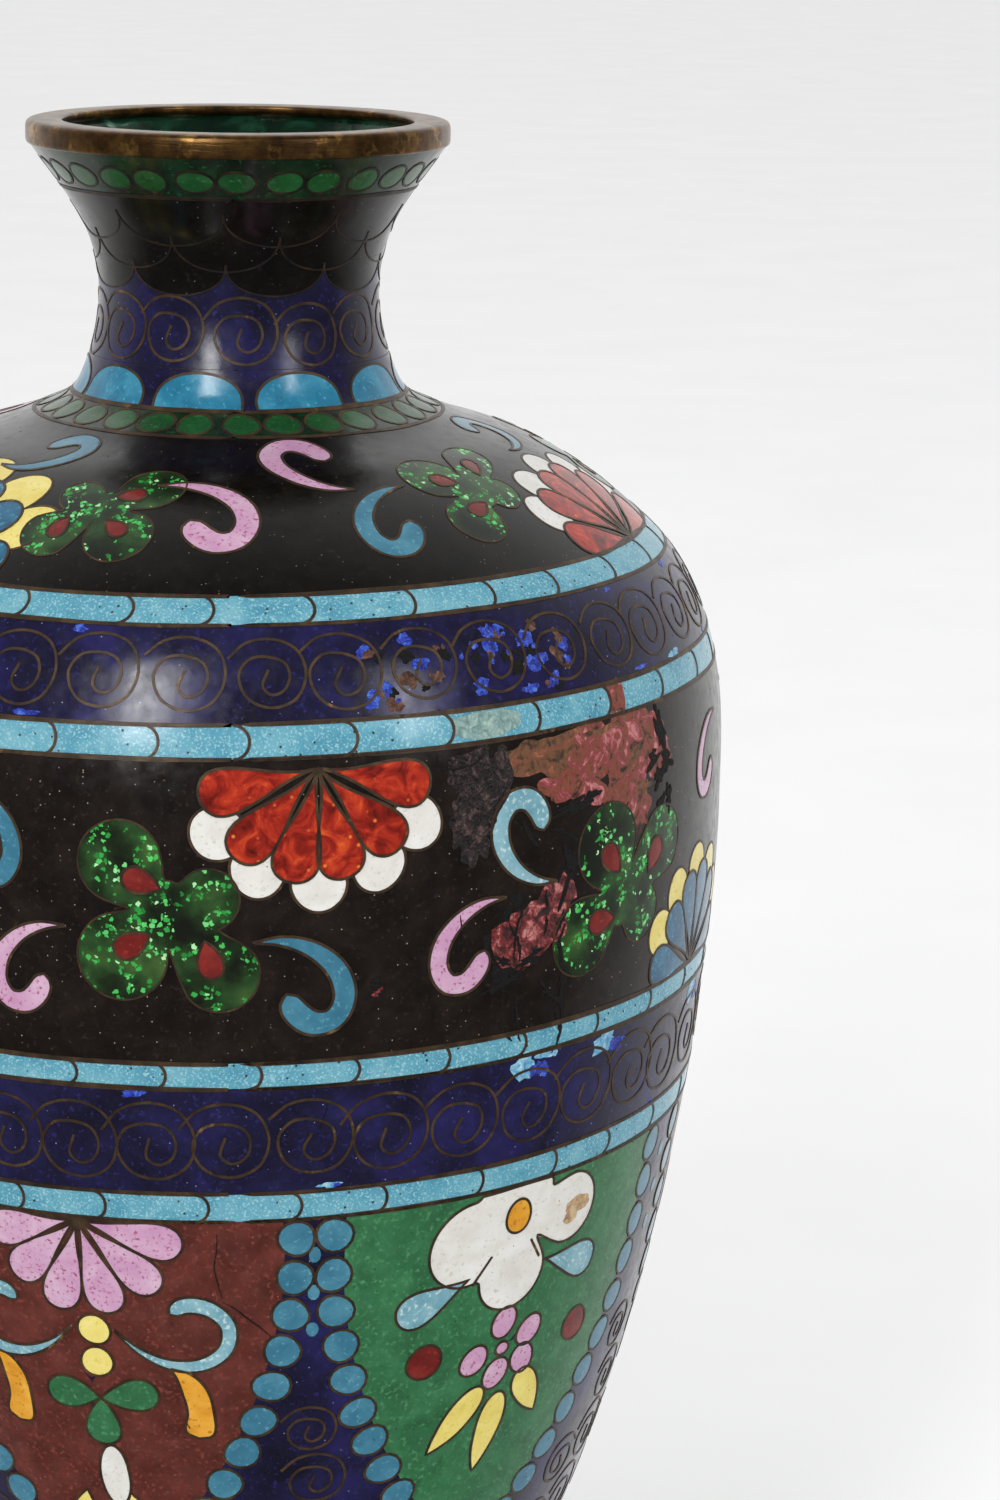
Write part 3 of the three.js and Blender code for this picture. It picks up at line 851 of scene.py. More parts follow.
# %% Linings, floor and underside
LINING_FACES = (1.62, 1.9)
LININGS = {
    "neck_lining": (LIP_BOTTOM, foot["shoulder_beads"]),
    "shoulder_lining": (foot["shoulder_beads"], 85.0),
    "belly_lining": (85.0, 7.0),
}
DISCS = ("floor_enamel", "underside_enamel")
for lining, (high, low) in LININGS.items():
    radius, height, out, up = profile_at(np.linspace(along_at(high) + JOINT, along_at(low) - JOINT, 60))
    faces = [np.stack([radius - depth * out, height - depth * up], axis=-1) for depth in LINING_FACES]
    add_turned(lining + "_enamel", np.vstack([faces[0], faces[1][::-1]]))
for disc in DISCS:
    low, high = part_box(disc)
    share = np.append(0.03, np.linspace(0.1, 1, 14))
    dome = 0.06 * (1 - share**2)[::-1]
    over = np.stack([high.x / MM * share, high.z / MM - dome], axis=-1)
    under = np.stack([high.x / MM * share, low.z / MM + 0 * share], axis=-1)
    add_turned(disc + "_fired", np.vstack([over, under[::-1]]), closed=False)
print("inside lined from the lip to the floor")

# %% [markdown]
# ## Old damage
# The belly has been knocked and mended: enamel fell out and was filled with coloured wax, and
# cracks run from the place. A fill is an irregular cell; a crack is a thin dark ribbon along a
# random walk. Chips of bright blue frit and pale glass lie along the edges of the bands.

# %% Makers of fills and cracks
def rough_outline(width, height, points, amount):
    """An irregular blot: an ellipse whose reach is changed by waves of orders 2 to 9, each with
    a random phase and a size that falls with its order."""
    t = full_turn(points)
    order = np.arange(2, 10)[:, None]
    phase = hand.uniform(0, 2 * math.pi, (8, 1))
    size = hand.uniform(0.5, 1.0, (8, 1)) * amount * (2 / order) ** 0.6
    reach = 1 + (size * np.sin(order * t + phase)).sum(axis=0)
    return bead(width, height, points) * reach[:, None]


def add_chips(piece, lift, amount, points, places):
    """Irregular fills or chips. A place is a heading, a height, a width across the vase, a width
    down it, and a turn."""
    for heading, height, width, tall, turn in places:
        outline = rough_outline(width, tall, points, amount)
        add_cell(piece, place(outline, heading, along_at(height), turn), lift=lift, crown=0.01)


def add_cracks(piece, places, width=None, stray=26):
    """Thin ribbons along random walks, each step turned by a random number of degrees. A place
    is a heading, a height, a direction, a length and, where they differ, a width."""
    for heading, height, direction, length, *own_width in places:
        steps = max(6, round(length / 0.35))
        bends = np.cumsum(hand.normal(0, math.radians(stray), steps)) * 0.5
        turns = math.radians(direction) + bends
        walk = np.cumsum(np.stack([np.cos(turns), np.sin(turns)], axis=-1) * length / steps, axis=0)
        taper = np.sin(np.linspace(0.15, math.pi - 0.1, steps)) ** 0.6
        thick = (own_width or [width])[0] / 2 * taper * hand.uniform(0.6, 1.3, steps)
        spine = place(walk, heading, along_at(height))
        add_ribbon(piece, spine, np.maximum(thick, 0.02), lift=0.04, crown=0.0)


# %% Fills on the belly
add_chips("belly_ochre_fill", 0.01, 0.16, 44, [(35.5, 93.0, 6.6, 2.6, 0)])
add_chips("belly_red_fill", 0.01, 0.16, 44, [
    (41.5, 92.4, 7.0, 3.8, 8), (48.5, 92.9, 6.4, 3.4, 0), (39.5, 90.9, 5.2, 2.6, -18),
    (48, 90.2, 5.0, 3.6, 24), (54, 91.8, 3.6, 3.6, 0), (47.6, 95.6, 1.6, 2.6, 0),
    (50.5, 88.2, 2.2, 3.0, 20),
])
add_chips("belly_cracks", 0.036, 0.3, 30, [
    (55.2, 92.6, 1.0, 2.6, 10), (56.2, 90.6, 1.6, 1.3, 0), (54.4, 89.8, 1.2, 1.0, 30),
    (56.8, 88.2, 0.8, 1.5, 0), (53.2, 91.4, 0.8, 0.7, 0), (39.0, 89.6, 3.2, 0.7, 12),
    (41.6, 89.9, 1.4, 0.9, 30), (38.9, 86.2, 1.0, 2.2, 25), (29.6, 80.6, 1.1, 0.6, -20),
    (33.2, 80.4, 2.4, 0.5, 20), (37.5, 82.4, 1.4, 0.6, 60), (14.6, 79.9, 1.0, 1.2, 0),
])
add_chips("belly_ochre_fill", 0.014, 0.3, 30, [
    (49.5, 91.8, 2.2, 1.0, 30), (51, 89.6, 1.6, 1.0, 0), (36.5, 94.0, 4.6, 0.6, 4),
    (44, 93.9, 3.0, 0.5, 4),
])
for heading, height, width, tall in (
    (31.0, 81.5, 3.0, 3.8), (33.6, 82.2, 3.2, 4.2), (36.2, 83.1, 2.8, 3.8), (38.0, 84.1, 1.8, 2.4),
):
    add_chips("belly_cracks", 0.016, 0.3, 24, [(heading, height, width + 0.7, tall + 0.7, 12)])
    add_chips("belly_crystal_chip", 0.032, 0.16, 13, [(heading, height, width, tall, 12)])
add_chips("belly_crystal_chip", 0.038, 0.3, 13, [(14.6, 79.7, 0.8, 0.5, 20)])
add_chips("belly_crackled_black", 0.022, 0.16, 44, [
    (26.0, 92.6, 3.6, 3.4, 0), (28.2, 91.4, 3.2, 5.0, 0), (24.4, 90.2, 1.8, 3.4, 0),
    (26.0, 88.8, 2.4, 3.4, 0),
])
print("fills laid")

# %% Cracks, scattered frit and stains
add_cracks("belly_cracks", [
    (55, 95.0, -80, 3.0, 0.35), (55.5, 91.4, 200, 2.4, 0.45), (56, 88.9, -110, 1.6, 0.5),
    (39.5, 86.0, -95, 3.6, 0.4), (38.5, 82.4, -140, 4.6, 0.35), (33.5, 80.0, -170, 4.2, 0.3),
    (30.0, 83.4, -100, 3.4, 0.22), (32.6, 84.6, -100, 4.4, 0.25), (35.4, 85.0, -98, 3.4, 0.3),
    (34.6, 79.2, -75, 3.6, 0.3), (37.0, 76.6, -60, 3.0, 0.3), (38.2, 79.0, -65, 3.4, 0.24),
    (31.6, 78.2, -95, 3.4, 0.16), (24.0, 84.4, -92, 2.6, 0.12), (29.6, 76.9, -94, 2.2, 0.2),
    (30.8, 89.6, -40, 3.0, 0.3), (35.0, 88.6, 10, 3.2, 0.3), (21.0, 94.0, -70, 4.0, 0.16),
])
add_cracks("lappet_cracks", [
    (-2.9, 64.4, -93, 5.0), (-3.0, 59.4, -25, 4.6), (-7.5, 50.6, -60, 1.4), (9.5, 73.0, -95, 2.2),
], width=0.08, stray=9)
for index in range(56):
    heading, height = hand.uniform(14, 41), hand.uniform(97.2, 101.0)
    size = hand.uniform(0.35, 1.25)
    piece = ("band_lapis_frit", "band_lapis_frit", "band_dark_pits", "band_brown_fill")[index % 4]
    spot = (heading, height, size, size * hand.uniform(0.5, 1), hand.uniform(0, 180))
    add_chips(piece, 0.02 + 0.0002 * index, 0.2, 14, [spot])
FRIT_EDGES = [  # ring, and how far above it the chips lie
    ("turquoise_band_1", -0.35), ("turquoise_band_3", -0.35),
    ("scroll_band_2", 0.35), ("scroll_band_1", 0.35),
]
for index in range(48):
    heading = hand.uniform(-40, 320)
    field, above = FRIT_EDGES[index % 4]
    piece = ("band_pale_frit", "band_lapis_frit")[index // 4 % 2]
    spot = (heading, foot[field] + above, hand.uniform(0.4, 1.7), hand.uniform(0.25, 0.55), 0)
    add_chips(piece, 0.012, 0.2, 18, [spot])
frit_line = foot["turquoise_band_3"]
for heading in (33.5, 46.5, 70):
    add_chips("band_pale_frit", 0.014, 0.2, 18, [(heading, frit_line - 0.8, 2.0, 1.6, 0)])
    add_chips("band_lapis_frit", 0.016, 0.2, 18, [(heading + 2.4, frit_line - 1.2, 1.6, 1.1, 0)])
for x, y, width, tall in ((4.7, 2.9, 2.3, 1.3), (4.1, 3.7, 1.3, 0.9)):
    stain = on_lappet(36.5, rough_outline(width, tall, 24, 0.06) + (x, y))
    add_cell("lappet_brown_stain", stain, lift=0.044, crown=0.004)
add_chips("band_grey_stain", 0.018, 0.05, 44, [(28.0, foot["scroll_band_1"] - 1.0, 4.9, 1.75, 0)])
print("cracks, frit and stains laid")

# %% [markdown]
# ## Materials: fired enamel
# Enamel is ground glass melted onto metal, then rubbed flat with stone. That gives the eye four
# things: a clouded colour where powder lay thick and thin, grains that kept their own tint,
# pinholes from gas with dirt in them, and a gloss dulled by fine scratches. One recipe has all
# four. Patterns read Object coordinates turned to mm, so their sizes are real.

# %% One colour helper and one node helper
FINISH = {}


def colour(hex_code):
    """sRGB hex to linear: c / 12.92 below 0.04045, else ((c + 0.055) / 1.055) to the 2.4."""
    value = np.array([int(hex_code[i : i + 2], 16) for i in (1, 3, 5)]) / 255
    linear = np.where(value < 0.04045, value / 12.92, ((value + 0.055) / 1.055) ** 2.4)
    return (*linear.tolist(), 1.0)


def feed(made, inputs):
    """Links an input that is given a socket, or a node, whose first output counts, and sets one
    that is given a value."""
    for key, value in inputs.items():
        if isinstance(value, bpy.types.Node):
            value = value.outputs[0]
        if isinstance(value, bpy.types.NodeSocket):
            made.id_data.links.new(value, made.inputs[key])
        else:
            made.inputs[key].default_value = value


def node(tree, kind, inputs, stops=(), **settings):
    """Adds a shader node with its settings and links. stops are the (place, hex) pairs of a
    colour ramp."""
    made = tree.nodes.new("ShaderNode" + kind)
    for name, value in settings.items():
        setattr(made, name, value)
    feed(made, inputs)
    for index, (at, code) in enumerate(stops):
        ramp = made.color_ramp.elements
        stop = ramp[index] if index < 2 else ramp.new(at)
        stop.position = at
        stop.color = colour(code)
    return made


print("brick red is", [round(part, 3) for part in colour("#54251e")], "in linear light")


# %% What every recipe shares
def start_recipe(name):
    """A new material's tree with only its surface shader, and Object coordinates in mm."""
    material = bpy.data.materials.new(name)
    material.use_nodes = True
    tree = material.node_tree
    tree.nodes.clear()
    surface = node(tree, "BsdfPrincipled", {})
    node(tree, "OutputMaterial", {"Surface": surface})
    where = node(tree, "TexCoord", {}).outputs["Object"]
    where = node(tree, "VectorMath", {0: where, "Scale": 1 / MM}, operation="SCALE")
    return material, tree, surface, where


def finish_recipe(tree, surface, height, depth, strength, inputs):
    """Feeds the surface shader, with bump as deep in mm as depth."""
    bump = node(tree, "Bump", {"Height": height, "Strength": strength, "Distance": depth * MM})
    feed(surface, {"Normal": bump, **inputs})


def evenly_toned(tones, low, high):
    """Ramp stops for tones at even places between two values of a noise."""
    return list(zip(np.linspace(low, high, len(tones)), tones))


def laid_over(tree, shown, *tints):
    """A colour with tints laid over it, each where its mask is 1."""
    for mask, code in tints:
        tint = code if isinstance(code, bpy.types.Node) else colour(code)
        shown = node(tree, "Mix", {0: mask, 6: shown, 7: tint}, data_type="RGBA").outputs[2]
    return shown


def spots(tree, where, spacing, size, share, soft):
    """A mask of round spots: near each random point of a grid of that spacing in mm, if the
    point's own random number is below share, 1 within size of it and 0 outside."""
    cells = node(tree, "TexVoronoi", {"Vector": where, "Scale": 1 / spacing})
    chance = node(tree, "SeparateColor", {0: cells.outputs["Color"]})
    chosen = node(tree, "Math", {0: chance, 1: share}, operation="LESS_THAN")
    reach = size / spacing / 2
    near = node(tree, "MapRange", {
        "Value": cells.outputs["Distance"], "From Min": reach, "From Max": reach * (1 - soft),
    })
    return node(tree, "Math", {0: near, 1: chosen}, operation="MULTIPLY")


# %% The enamel recipe and the plain enamels
def enamel(slot, name, tones, grain, grain_share=0.12, grain_mm=0.3, pore="#1d1611",
           pore_share=0.12, pore_mm=0.16, cloud_mm=2.4, roughness=0.17, fleck=None):
    """Fired enamel: tones run from the darkest to the lightest cloud, grain is the tint of the
    unmelted grains, pore the dirt in the pinholes, fleck (hex, mm, share) a rarer spot."""
    material, tree, surface, where = start_recipe(f"fired_{name}_enamel")
    cloud = node(tree, "TexNoise", {
        "Vector": where, "Scale": 1 / cloud_mm, "Detail": 5.0, "Roughness": 0.62, "Distortion": 0.4,
    })
    shown = node(tree, "ValToRGB", {0: cloud}, evenly_toned(tones, 0.32, 0.68))
    powder = node(tree, "TexNoise", {"Vector": where, "Scale": 1 / grain_mm, "Detail": 2.0})
    least = 0.64 - 0.3 * grain_share
    grains = node(tree, "MapRange", {"Value": powder, "From Min": least, "From Max": least + 0.14})
    shown = laid_over(tree, shown, (grains, grain))
    if fleck:
        code, size, share = fleck
        shown = laid_over(tree, shown, (spots(tree, where, size * 2.6, size, share, 0.5), code))
    pores = spots(tree, where, 0.75, pore_mm, pore_share, 0.5)
    haze = node(tree, "TexNoise", {"Vector": where, "Scale": 1 / 0.9, "Detail": 6.0})
    dull = node(tree, "MapRange", {
        "Value": haze, "From Min": 0.3, "From Max": 0.75,
        "To Min": roughness * 0.75, "To Max": roughness * 1.6,
    })
    swell = node(tree, "TexNoise", {"Vector": where, "Scale": 1 / 1.6, "Detail": 3.0})
    height = node(tree, "Math", {0: pores, 1: -0.5, 2: swell}, operation="MULTIPLY_ADD")
    finish_recipe(tree, surface, height, 0.04, 0.35, {
        "Base Color": laid_over(tree, shown, (pores, pore)), "IOR": 1.5,
        "Roughness": node(tree, "Math", {0: pores, 1: 0.5, 2: dull}, operation="MULTIPLY_ADD"),
    })
    FINISH[name] = (material, slot + "_enamel")


# %% Mix the plain enamels: slot, name, tones, grain and its share and size, and what differs
enamel("black", "black", ("#100b09", "#17110e", "#201814"), "#2a211b",
       fleck=("#8d8378", 0.11, 0.12), pore="#0b0806", roughness=0.2)
enamel("black", "deep_black", ("#060404", "#0b0806", "#120e0b"), "#1d1712", 0.08,
       fleck=("#6d655c", 0.1, 0.08), pore="#040302", roughness=0.19)
enamel("navy", "navy", ("#100e1f", "#171533", "#1f1c4e"), "#24235e", cloud_mm=4.5,
       fleck=("#8b93b8", 0.1, 0.03), roughness=0.2)
enamel("turquoise", "turquoise", ("#438197", "#5390a3", "#6b9eac"), "#8ab5be", 0.36, 0.15,
       pore="#242826", pore_share=0.95, pore_mm=0.23)
enamel("turquoise", "pale_blue", ("#558491", "#6d98a4", "#84a8b1"), "#a9c1c4", 0.3,
       pore="#374e55", pore_share=0.2)
enamel("blue", "sky_blue", ("#1b607d", "#25718f", "#3c86a0"), "#4b93aa")
enamel("blue", "dusty_blue", ("#2c6177", "#376d83", "#467c8f"), "#558999", 0.16,
       pore="#1c282f", pore_share=0.25)
enamel("blue", "sea_blue", ("#154059", "#1d5270", "#286582"), "#39809c", 0.25,
       fleck=("#76bbd0", 0.5, 0.25))
enamel("green", "bead_green", ("#11371a", "#184421", "#20512a"), "#2c6338")
enamel("green", "bottle_green", ("#0b150c", "#0f2012", "#16331b"), "#1f4526")
enamel("leaf_green", "leaf_green", ("#235534", "#2a623d", "#346e47"), "#437d53", 0.25,
       fleck=("#143a25", 0.14, 0.1), pore="#132d1e", roughness=0.24)
enamel("brick_red", "brick_red", ("#471d16", "#54251e", "#622d25"), "#70362d", 0.25,
       fleck=("#915f53", 0.12, 0.05), pore="#250c08", pore_share=0.16, roughness=0.24)
enamel("fan_red", "berry_red", ("#541613", "#671c19", "#7b2721"), "#86291d", 0.2)
enamel("pink", "pink", ("#ae7fa1", "#b78eaa", "#bfa1b4"), "#94476a", 0.22, 0.24,
       pore="#662642", pore_share=0.3)
enamel("white", "white", ("#c3c0b9", "#cccac4", "#d3d2cf"), "#b5b1a7", 0.14,
       pore="#4f3a2a", pore_share=0.22, pore_mm=0.13)
enamel("yellow", "yellow", ("#ccb95c", "#d4c46d", "#dbcf85"), "#c2ab49", 0.18, pore="#6d511d")
enamel("amber", "amber", ("#b87920", "#c98d27", "#d39e3e"), "#a86a1a", 0.2,
       pore="#522f0e", pore_share=0.14)
print(f"{len(FINISH)} plain enamels mixed")

# %% [markdown]
# ## Materials: clear enamels
# The leaves are aventurine: clear green glass with bright flakes that lie in clumps. The red
# petals are clear glass over copper, so they flame from dark red to orange. Counter-enamel is
# dark green glass, left rippled as it came from the kiln, with pale clouds of painted reflection.

# %% Aventurine, flame red and counter-enamel
def aventurine():
    """Clear green that goes black where it is deep; clumps of flakes, each its own brightness."""
    material, tree, surface, where = start_recipe("fired_aventurine_enamel")
    cloud = node(tree, "TexNoise", {"Vector": where, "Scale": 1 / 2.6, "Detail": 4.0})
    deep = node(tree, "ValToRGB", {0: cloud}, [
        (0.36, "#13170f"), (0.47, "#1a2b15"), (0.58, "#254320"), (0.7, "#3c5528"),
    ])
    patch = node(tree, "TexNoise", {"Vector": where, "Scale": 1 / 1.3, "Detail": 2.0})
    clump = node(tree, "MapRange", {
        "Value": patch, "From Min": 0.5, "From Max": 0.6, "To Min": 0.04, "To Max": 0.9,
    })
    jagged = node(tree, "TexNoise", {"Vector": where, "Scale": 1 / 0.2, "Detail": 1.0})
    shift = node(tree, "VectorMath", {0: jagged.outputs["Color"], "Scale": 0.3}, operation="SCALE")
    torn = node(tree, "VectorMath", {0: where, 1: shift}, operation="ADD")
    cells = node(tree, "TexVoronoi", {"Vector": torn, "Scale": 1 / 0.34})
    dice = node(tree, "SeparateColor", {0: cells.outputs["Color"]})
    chosen = node(tree, "Math", {0: dice, 1: clump}, operation="LESS_THAN")
    inside = node(tree, "Math", {0: cells.outputs["Distance"], 1: 0.5}, operation="LESS_THAN")
    flakes = node(tree, "Math", {0: chosen, 1: inside}, operation="MULTIPLY")
    bright = node(tree, "ValToRGB", {0: dice.outputs[1]}, [
        (0.0, "#1d6a28"), (0.4, "#27903a"), (0.8, "#4fb85c"), (1.0, "#a8d8a4"),
    ])
    finish_recipe(tree, surface, cloud, 0.04, 0.4, {
        "Base Color": laid_over(tree, deep, (flakes, bright)), "Roughness": 0.2, "IOR": 1.5,
    })
    return material


def clear_enamel(name, cloud, tones, speckle, roughness, depth, strength):
    """Clear glass: one distorted noise picks the tone and ripples the surface; soft specks."""
    material, tree, surface, where = start_recipe(name)
    cloud = node(tree, "TexNoise", {"Vector": where, **cloud})
    shown = node(tree, "ValToRGB", {0: cloud}, tones)
    code, *spot = speckle
    finish_recipe(tree, surface, cloud, depth, strength, {
        "Base Color": laid_over(tree, shown, (spots(tree, where, *spot), code)),
        "Roughness": roughness, "IOR": 1.5,
    })
    return material


FINISH["aventurine"] = (aventurine(), "aventurine_enamel")
FINISH["flame_red"] = (clear_enamel(
    "fired_flame_red_enamel", {"Scale": 1 / 1.5, "Detail": 5.0, "Roughness": 0.6, "Distortion": 1.2},
    [(0.3, "#4c0e08"), (0.46, "#7f1a10"), (0.58, "#a32c17"), (0.72, "#c4531d")],
    ("#e07a32", 0.5, 0.3, 0.12, 0.9), 0.18, 0.03, 0.3,
), "fan_red_enamel")
# Counter-enamel: the dark greens are its own, and the palest tone, #7fa396, is painted reflection.
COUNTER_ENAMEL = clear_enamel(
    "counter_enamel_and_painted_reflections", {"Scale": 1 / 3.2, "Detail": 4.0, "Distortion": 0.8},
    [(0.3, "#03100a"), (0.54, "#082014"), (0.66, "#153b28"), (0.78, "#7fa396")],
    ("#0a1f14", 1.1, 0.5, 0.3, 0.8), 0.12, 0.25, 0.6,
)
print("aventurine, flame red and counter-enamel mixed")

# %% [markdown]
# ## Materials: old metal and old fills
# Brass wire and copper sheet tarnish to a brown skin; the turned lip shows gold where hands rub
# it, and the wire shows painted glints. Wax, frit and soot in the damage are lumpy, each lump its
# own tone, with grit between; the red frit's palest tone is a painted highlight.

# %% Recipes for old metal and old fills
def old_metal(name, skin, worn_and_glint_tint, patch_mm, worn_and_glint_from, roughness, metallic=0.85):
    """Metal with a skin: skin runs over dark to light tarnish, and where a patchy noise passes a
    threshold a lighter tint shows: bare metal worn by hands on the lip, painted glints on the
    wire. Fine scratches run round, as noise squeezed in height."""
    material, tree, surface, where = start_recipe(name)
    cloud = node(tree, "TexNoise", {
        "Vector": where, "Scale": 1 / patch_mm, "Detail": 6.0, "Roughness": 0.65,
    })
    tarnish = node(tree, "ValToRGB", {0: cloud}, evenly_toned(skin, 0.32, 0.66))
    # Where the lighter tint shows: worn bare metal on the lip, foot and copper, and painted glints on the
    # wire.
    worn_and_glint_noise = node(tree, "TexNoise", {
        "Vector": where, "Scale": 0.7 / patch_mm, "Detail": 5.0, "Roughness": 0.7,
    })
    worn_and_glint_mask = node(tree, "MapRange", {
        "Value": worn_and_glint_noise, "From Min": worn_and_glint_from, "From Max": worn_and_glint_from + 0.12,
    })
    flat = node(tree, "VectorMath", {0: where, 1: (0.08, 0.08, 1.0)}, operation="MULTIPLY")
    scratch = node(tree, "TexNoise", {"Vector": flat, "Scale": 1 / 0.12, "Detail": 3.0})
    height = node(tree, "Math", {0: cloud, 1: scratch}, operation="ADD")
    finish_recipe(tree, surface, height, 0.05, 0.4, {
        "Base Color": laid_over(tree, tarnish, (worn_and_glint_mask, worn_and_glint_tint)), "Metallic": metallic,
        "Roughness": node(tree, "MapRange", {
            "Value": scratch, "To Min": roughness * 0.7, "To Max": roughness * 1.35,
        }),
    })
    return material


def old_fill(slot, name, tones, grit, lump_mm, roughness, depth, seams=0.3):
    """A wax or glass fill in old damage: lumps of several tones with grit between them."""
    material, tree, surface, where = start_recipe(name)
    cloud = node(tree, "TexNoise", {
        "Vector": where, "Scale": 1 / lump_mm, "Detail": 7.0, "Roughness": 0.7, "Distortion": 0.9,
    })
    shown = node(tree, "ValToRGB", {0: cloud}, evenly_toned(tones, 0.38, 0.62))
    facets = node(tree, "TexVoronoi", {"Vector": where, "Scale": 1 / (lump_mm * 0.6)},
                  feature="DISTANCE_TO_EDGE")
    seam = node(tree, "MapRange", {
        "Value": facets, "From Min": 0.0, "From Max": 0.08, "To Min": seams, "To Max": 0.0,
    })
    height = node(tree, "Math", {0: cloud, 1: facets}, operation="ADD")
    finish_recipe(tree, surface, height, depth, 0.8, {
        "Base Color": laid_over(tree, shown, (seam, grit)), "Roughness": roughness,
    })
    FINISH[name] = (material, slot + "_enamel")


# %% Brass, copper, wax, frit and soot
# The wire's lighter tint, #8a6a3c, is painted glints, not wear.
WIRE = old_metal("drawn_brass_wire_tarnished", ("#2e2319", "#413122", "#56422b"), "#8a6a3c",
                 1.4, 0.62, 0.4, 0.35)
# A darker, less metallic copy of the wire brass: painted shade for the rings and scale wires under the lip.
# Its lighter tint, #5f4626, is painted glints.
NECK_WIRE_PAINTED_SHADE = old_metal("drawn_brass_wire_painted_shade", ("#17110c", "#241a12", "#38291a"), "#5f4626",
                       1.4, 0.64, 0.45, 0.2)
BRASS = old_metal("turned_brass_patinated", ("#3d2b18", "#5a4023", "#7a5a30"), "#a07a40",
                  1.5, 0.54, 0.3)
COPPER = old_metal("spun_copper_tarnished", ("#6b3a24", "#8a4b30", "#a8623f"), "#c67f57",
                   3.0, 0.55, 0.38)
WAX_REDS = ("#2a1712", "#5a2a20", "#7d4329", "#732a28", "#8f3f45", "#b87270")
WAX_OCHRES = ("#352214", "#54371f", "#6c4526", "#74392a", "#8c5a34")
old_fill("brick_red", "mending_wax_brick_red", WAX_REDS, "#3a1a14", 1.3, 0.42, 0.15, 0.12)
old_fill("amber", "mending_wax_ochre", WAX_OCHRES, "#3a2414", 0.9, 0.45, 0.15, 0.12)
# Red frit: the reds are its own, and its palest tone, #b8716c, is painted highlight on its facets.
old_fill("fan_red", "broken_red_frit_and_painted_highlights", ("#260809", "#5e1417", "#84282a", "#b8716c"), "#120505",
         0.9, 0.3, 0.4, 0.75)
old_fill("black", "crackled_black_enamel", ("#0d0909", "#1a1313", "#2c1f1f", "#55403c"), "#060404",
         0.5, 0.3, 0.3, 0.6)
old_fill("black", "soot_in_cracks", ("#070504", "#0d0908", "#171110"), "#040302", 0.4, 0.75, 0.2)
old_fill("navy", "lapis_blue_frit", ("#0f1a6a", "#1c2f98", "#2747b8", "#4f76c8"), "#0c0f3a",
         0.5, 0.25, 0.2)
old_fill("turquoise", "pale_blue_frit", ("#3f7fa6", "#6aa3c0", "#9cc4d2"), "#3a6a88", 0.6, 0.25, 0.1)
old_fill("brick_red", "brown_resin_fill", ("#3a241a", "#5a3828", "#7a5540"), "#1d110b", 0.6, 0.5, 0.3)
old_fill("amber", "brown_stained_white_enamel", ("#8a6a48", "#a88a62", "#bfa988"), "#7a5a38",
         0.7, 0.35, 0.1, 0.1)
old_fill("turquoise", "grey_stained_enamel", ("#5f7f7c", "#7c9793", "#93aca4"), "#3c5048",
         0.6, 0.3, 0.1)
print(f"{len(bpy.data.materials)} materials in all")

# %% [markdown]
# ## Assembling the vase
# Every piece gets its enamel, and the CAD part it stands for is hidden.
# The copper sheets stay as the CAD made them, hidden between the enamel of both faces.

# %% Build the grounds, the rings and the brass
for field, _, _, ring, finish in FIELDS:
    material, slot = FINISH[finish]
    build_piece(field + "_enamel", material, "blue_enamel" if field == "neck_petals" else slot, field)
    if ring:
        # The two rings under the lip take the darker wire, which is painted shade.
        painted_shade_ring = ring in ("wire_under_collar", "wire_under_scales")
        build_piece(ring + "_fine", NECK_WIRE_PAINTED_SHADE if painted_shade_ring else WIRE, "wire_brass", ring)
for number in range(1, len(LAPPET_HEADINGS) + 1):
    finish = FINISH["leaf_green" if number % 2 else "brick_red"]
    build_piece(f"lappet_{number}_enamel", *finish, f"lappet_{number}")
for ring in ("lip_ring", "foot_ring"):
    build_piece(ring + "_turned", BRASS, "aged_brass", ring)
for lining in LININGS:
    build_piece(lining + "_enamel", COUNTER_ENAMEL, "counter_enamel", lining)
for disc in DISCS:
    build_piece(disc + "_fired", COUNTER_ENAMEL, "counter_enamel", disc)
for cad_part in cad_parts.values():
    cad_part.data.materials.clear()
    cad_part.data.materials.append(COPPER)

# %% Build the cells and the wires
CELLS = {
    "deep_black": "neck_black_scales",
    "sky_blue": "neck_blue_half_discs foot_blue_dots",
    "dusty_blue": "shoulder_blue_commas belly_blue_commas lappet_beads",
    "sea_blue": "shoulder_blue_petals belly_blue_petals",
    "pale_blue": "belly_pale_commas lappet_stems",
    "bead_green": "collar_green_beads shoulder_green_beads foot_green_dots",
    "leaf_green": "lappet_clover",
    "aventurine": "shoulder_leaves belly_leaves",
    "flame_red": "shoulder_red_petals belly_red_petals",
    "berry_red": "shoulder_drops belly_drops lappet_berries",
    "pink": "shoulder_pink_commas belly_pink_commas lappet_pink",
    "white": "shoulder_white_notches belly_white_notches lappet_white",
    "yellow": "shoulder_yellow_notches belly_yellow_notches lappet_yellow",
    "amber": "lappet_amber",
    "mending_wax_brick_red": "belly_red_fill",
    "mending_wax_ochre": "belly_ochre_fill",
    "broken_red_frit_and_painted_highlights": "belly_crystal_chip",
    "crackled_black_enamel": "belly_crackled_black",
    "soot_in_cracks": "belly_cracks lappet_cracks band_dark_pits",
    "lapis_blue_frit": "band_lapis_frit",
    "pale_blue_frit": "band_pale_frit",
    "brown_resin_fill": "band_brown_fill",
    "brown_stained_white_enamel": "lappet_brown_stain",
    "grey_stained_enamel": "band_grey_stain",
}
for finish, pieces in CELLS.items():
    for piece in pieces.split():
        build_piece(piece, *FINISH[finish])
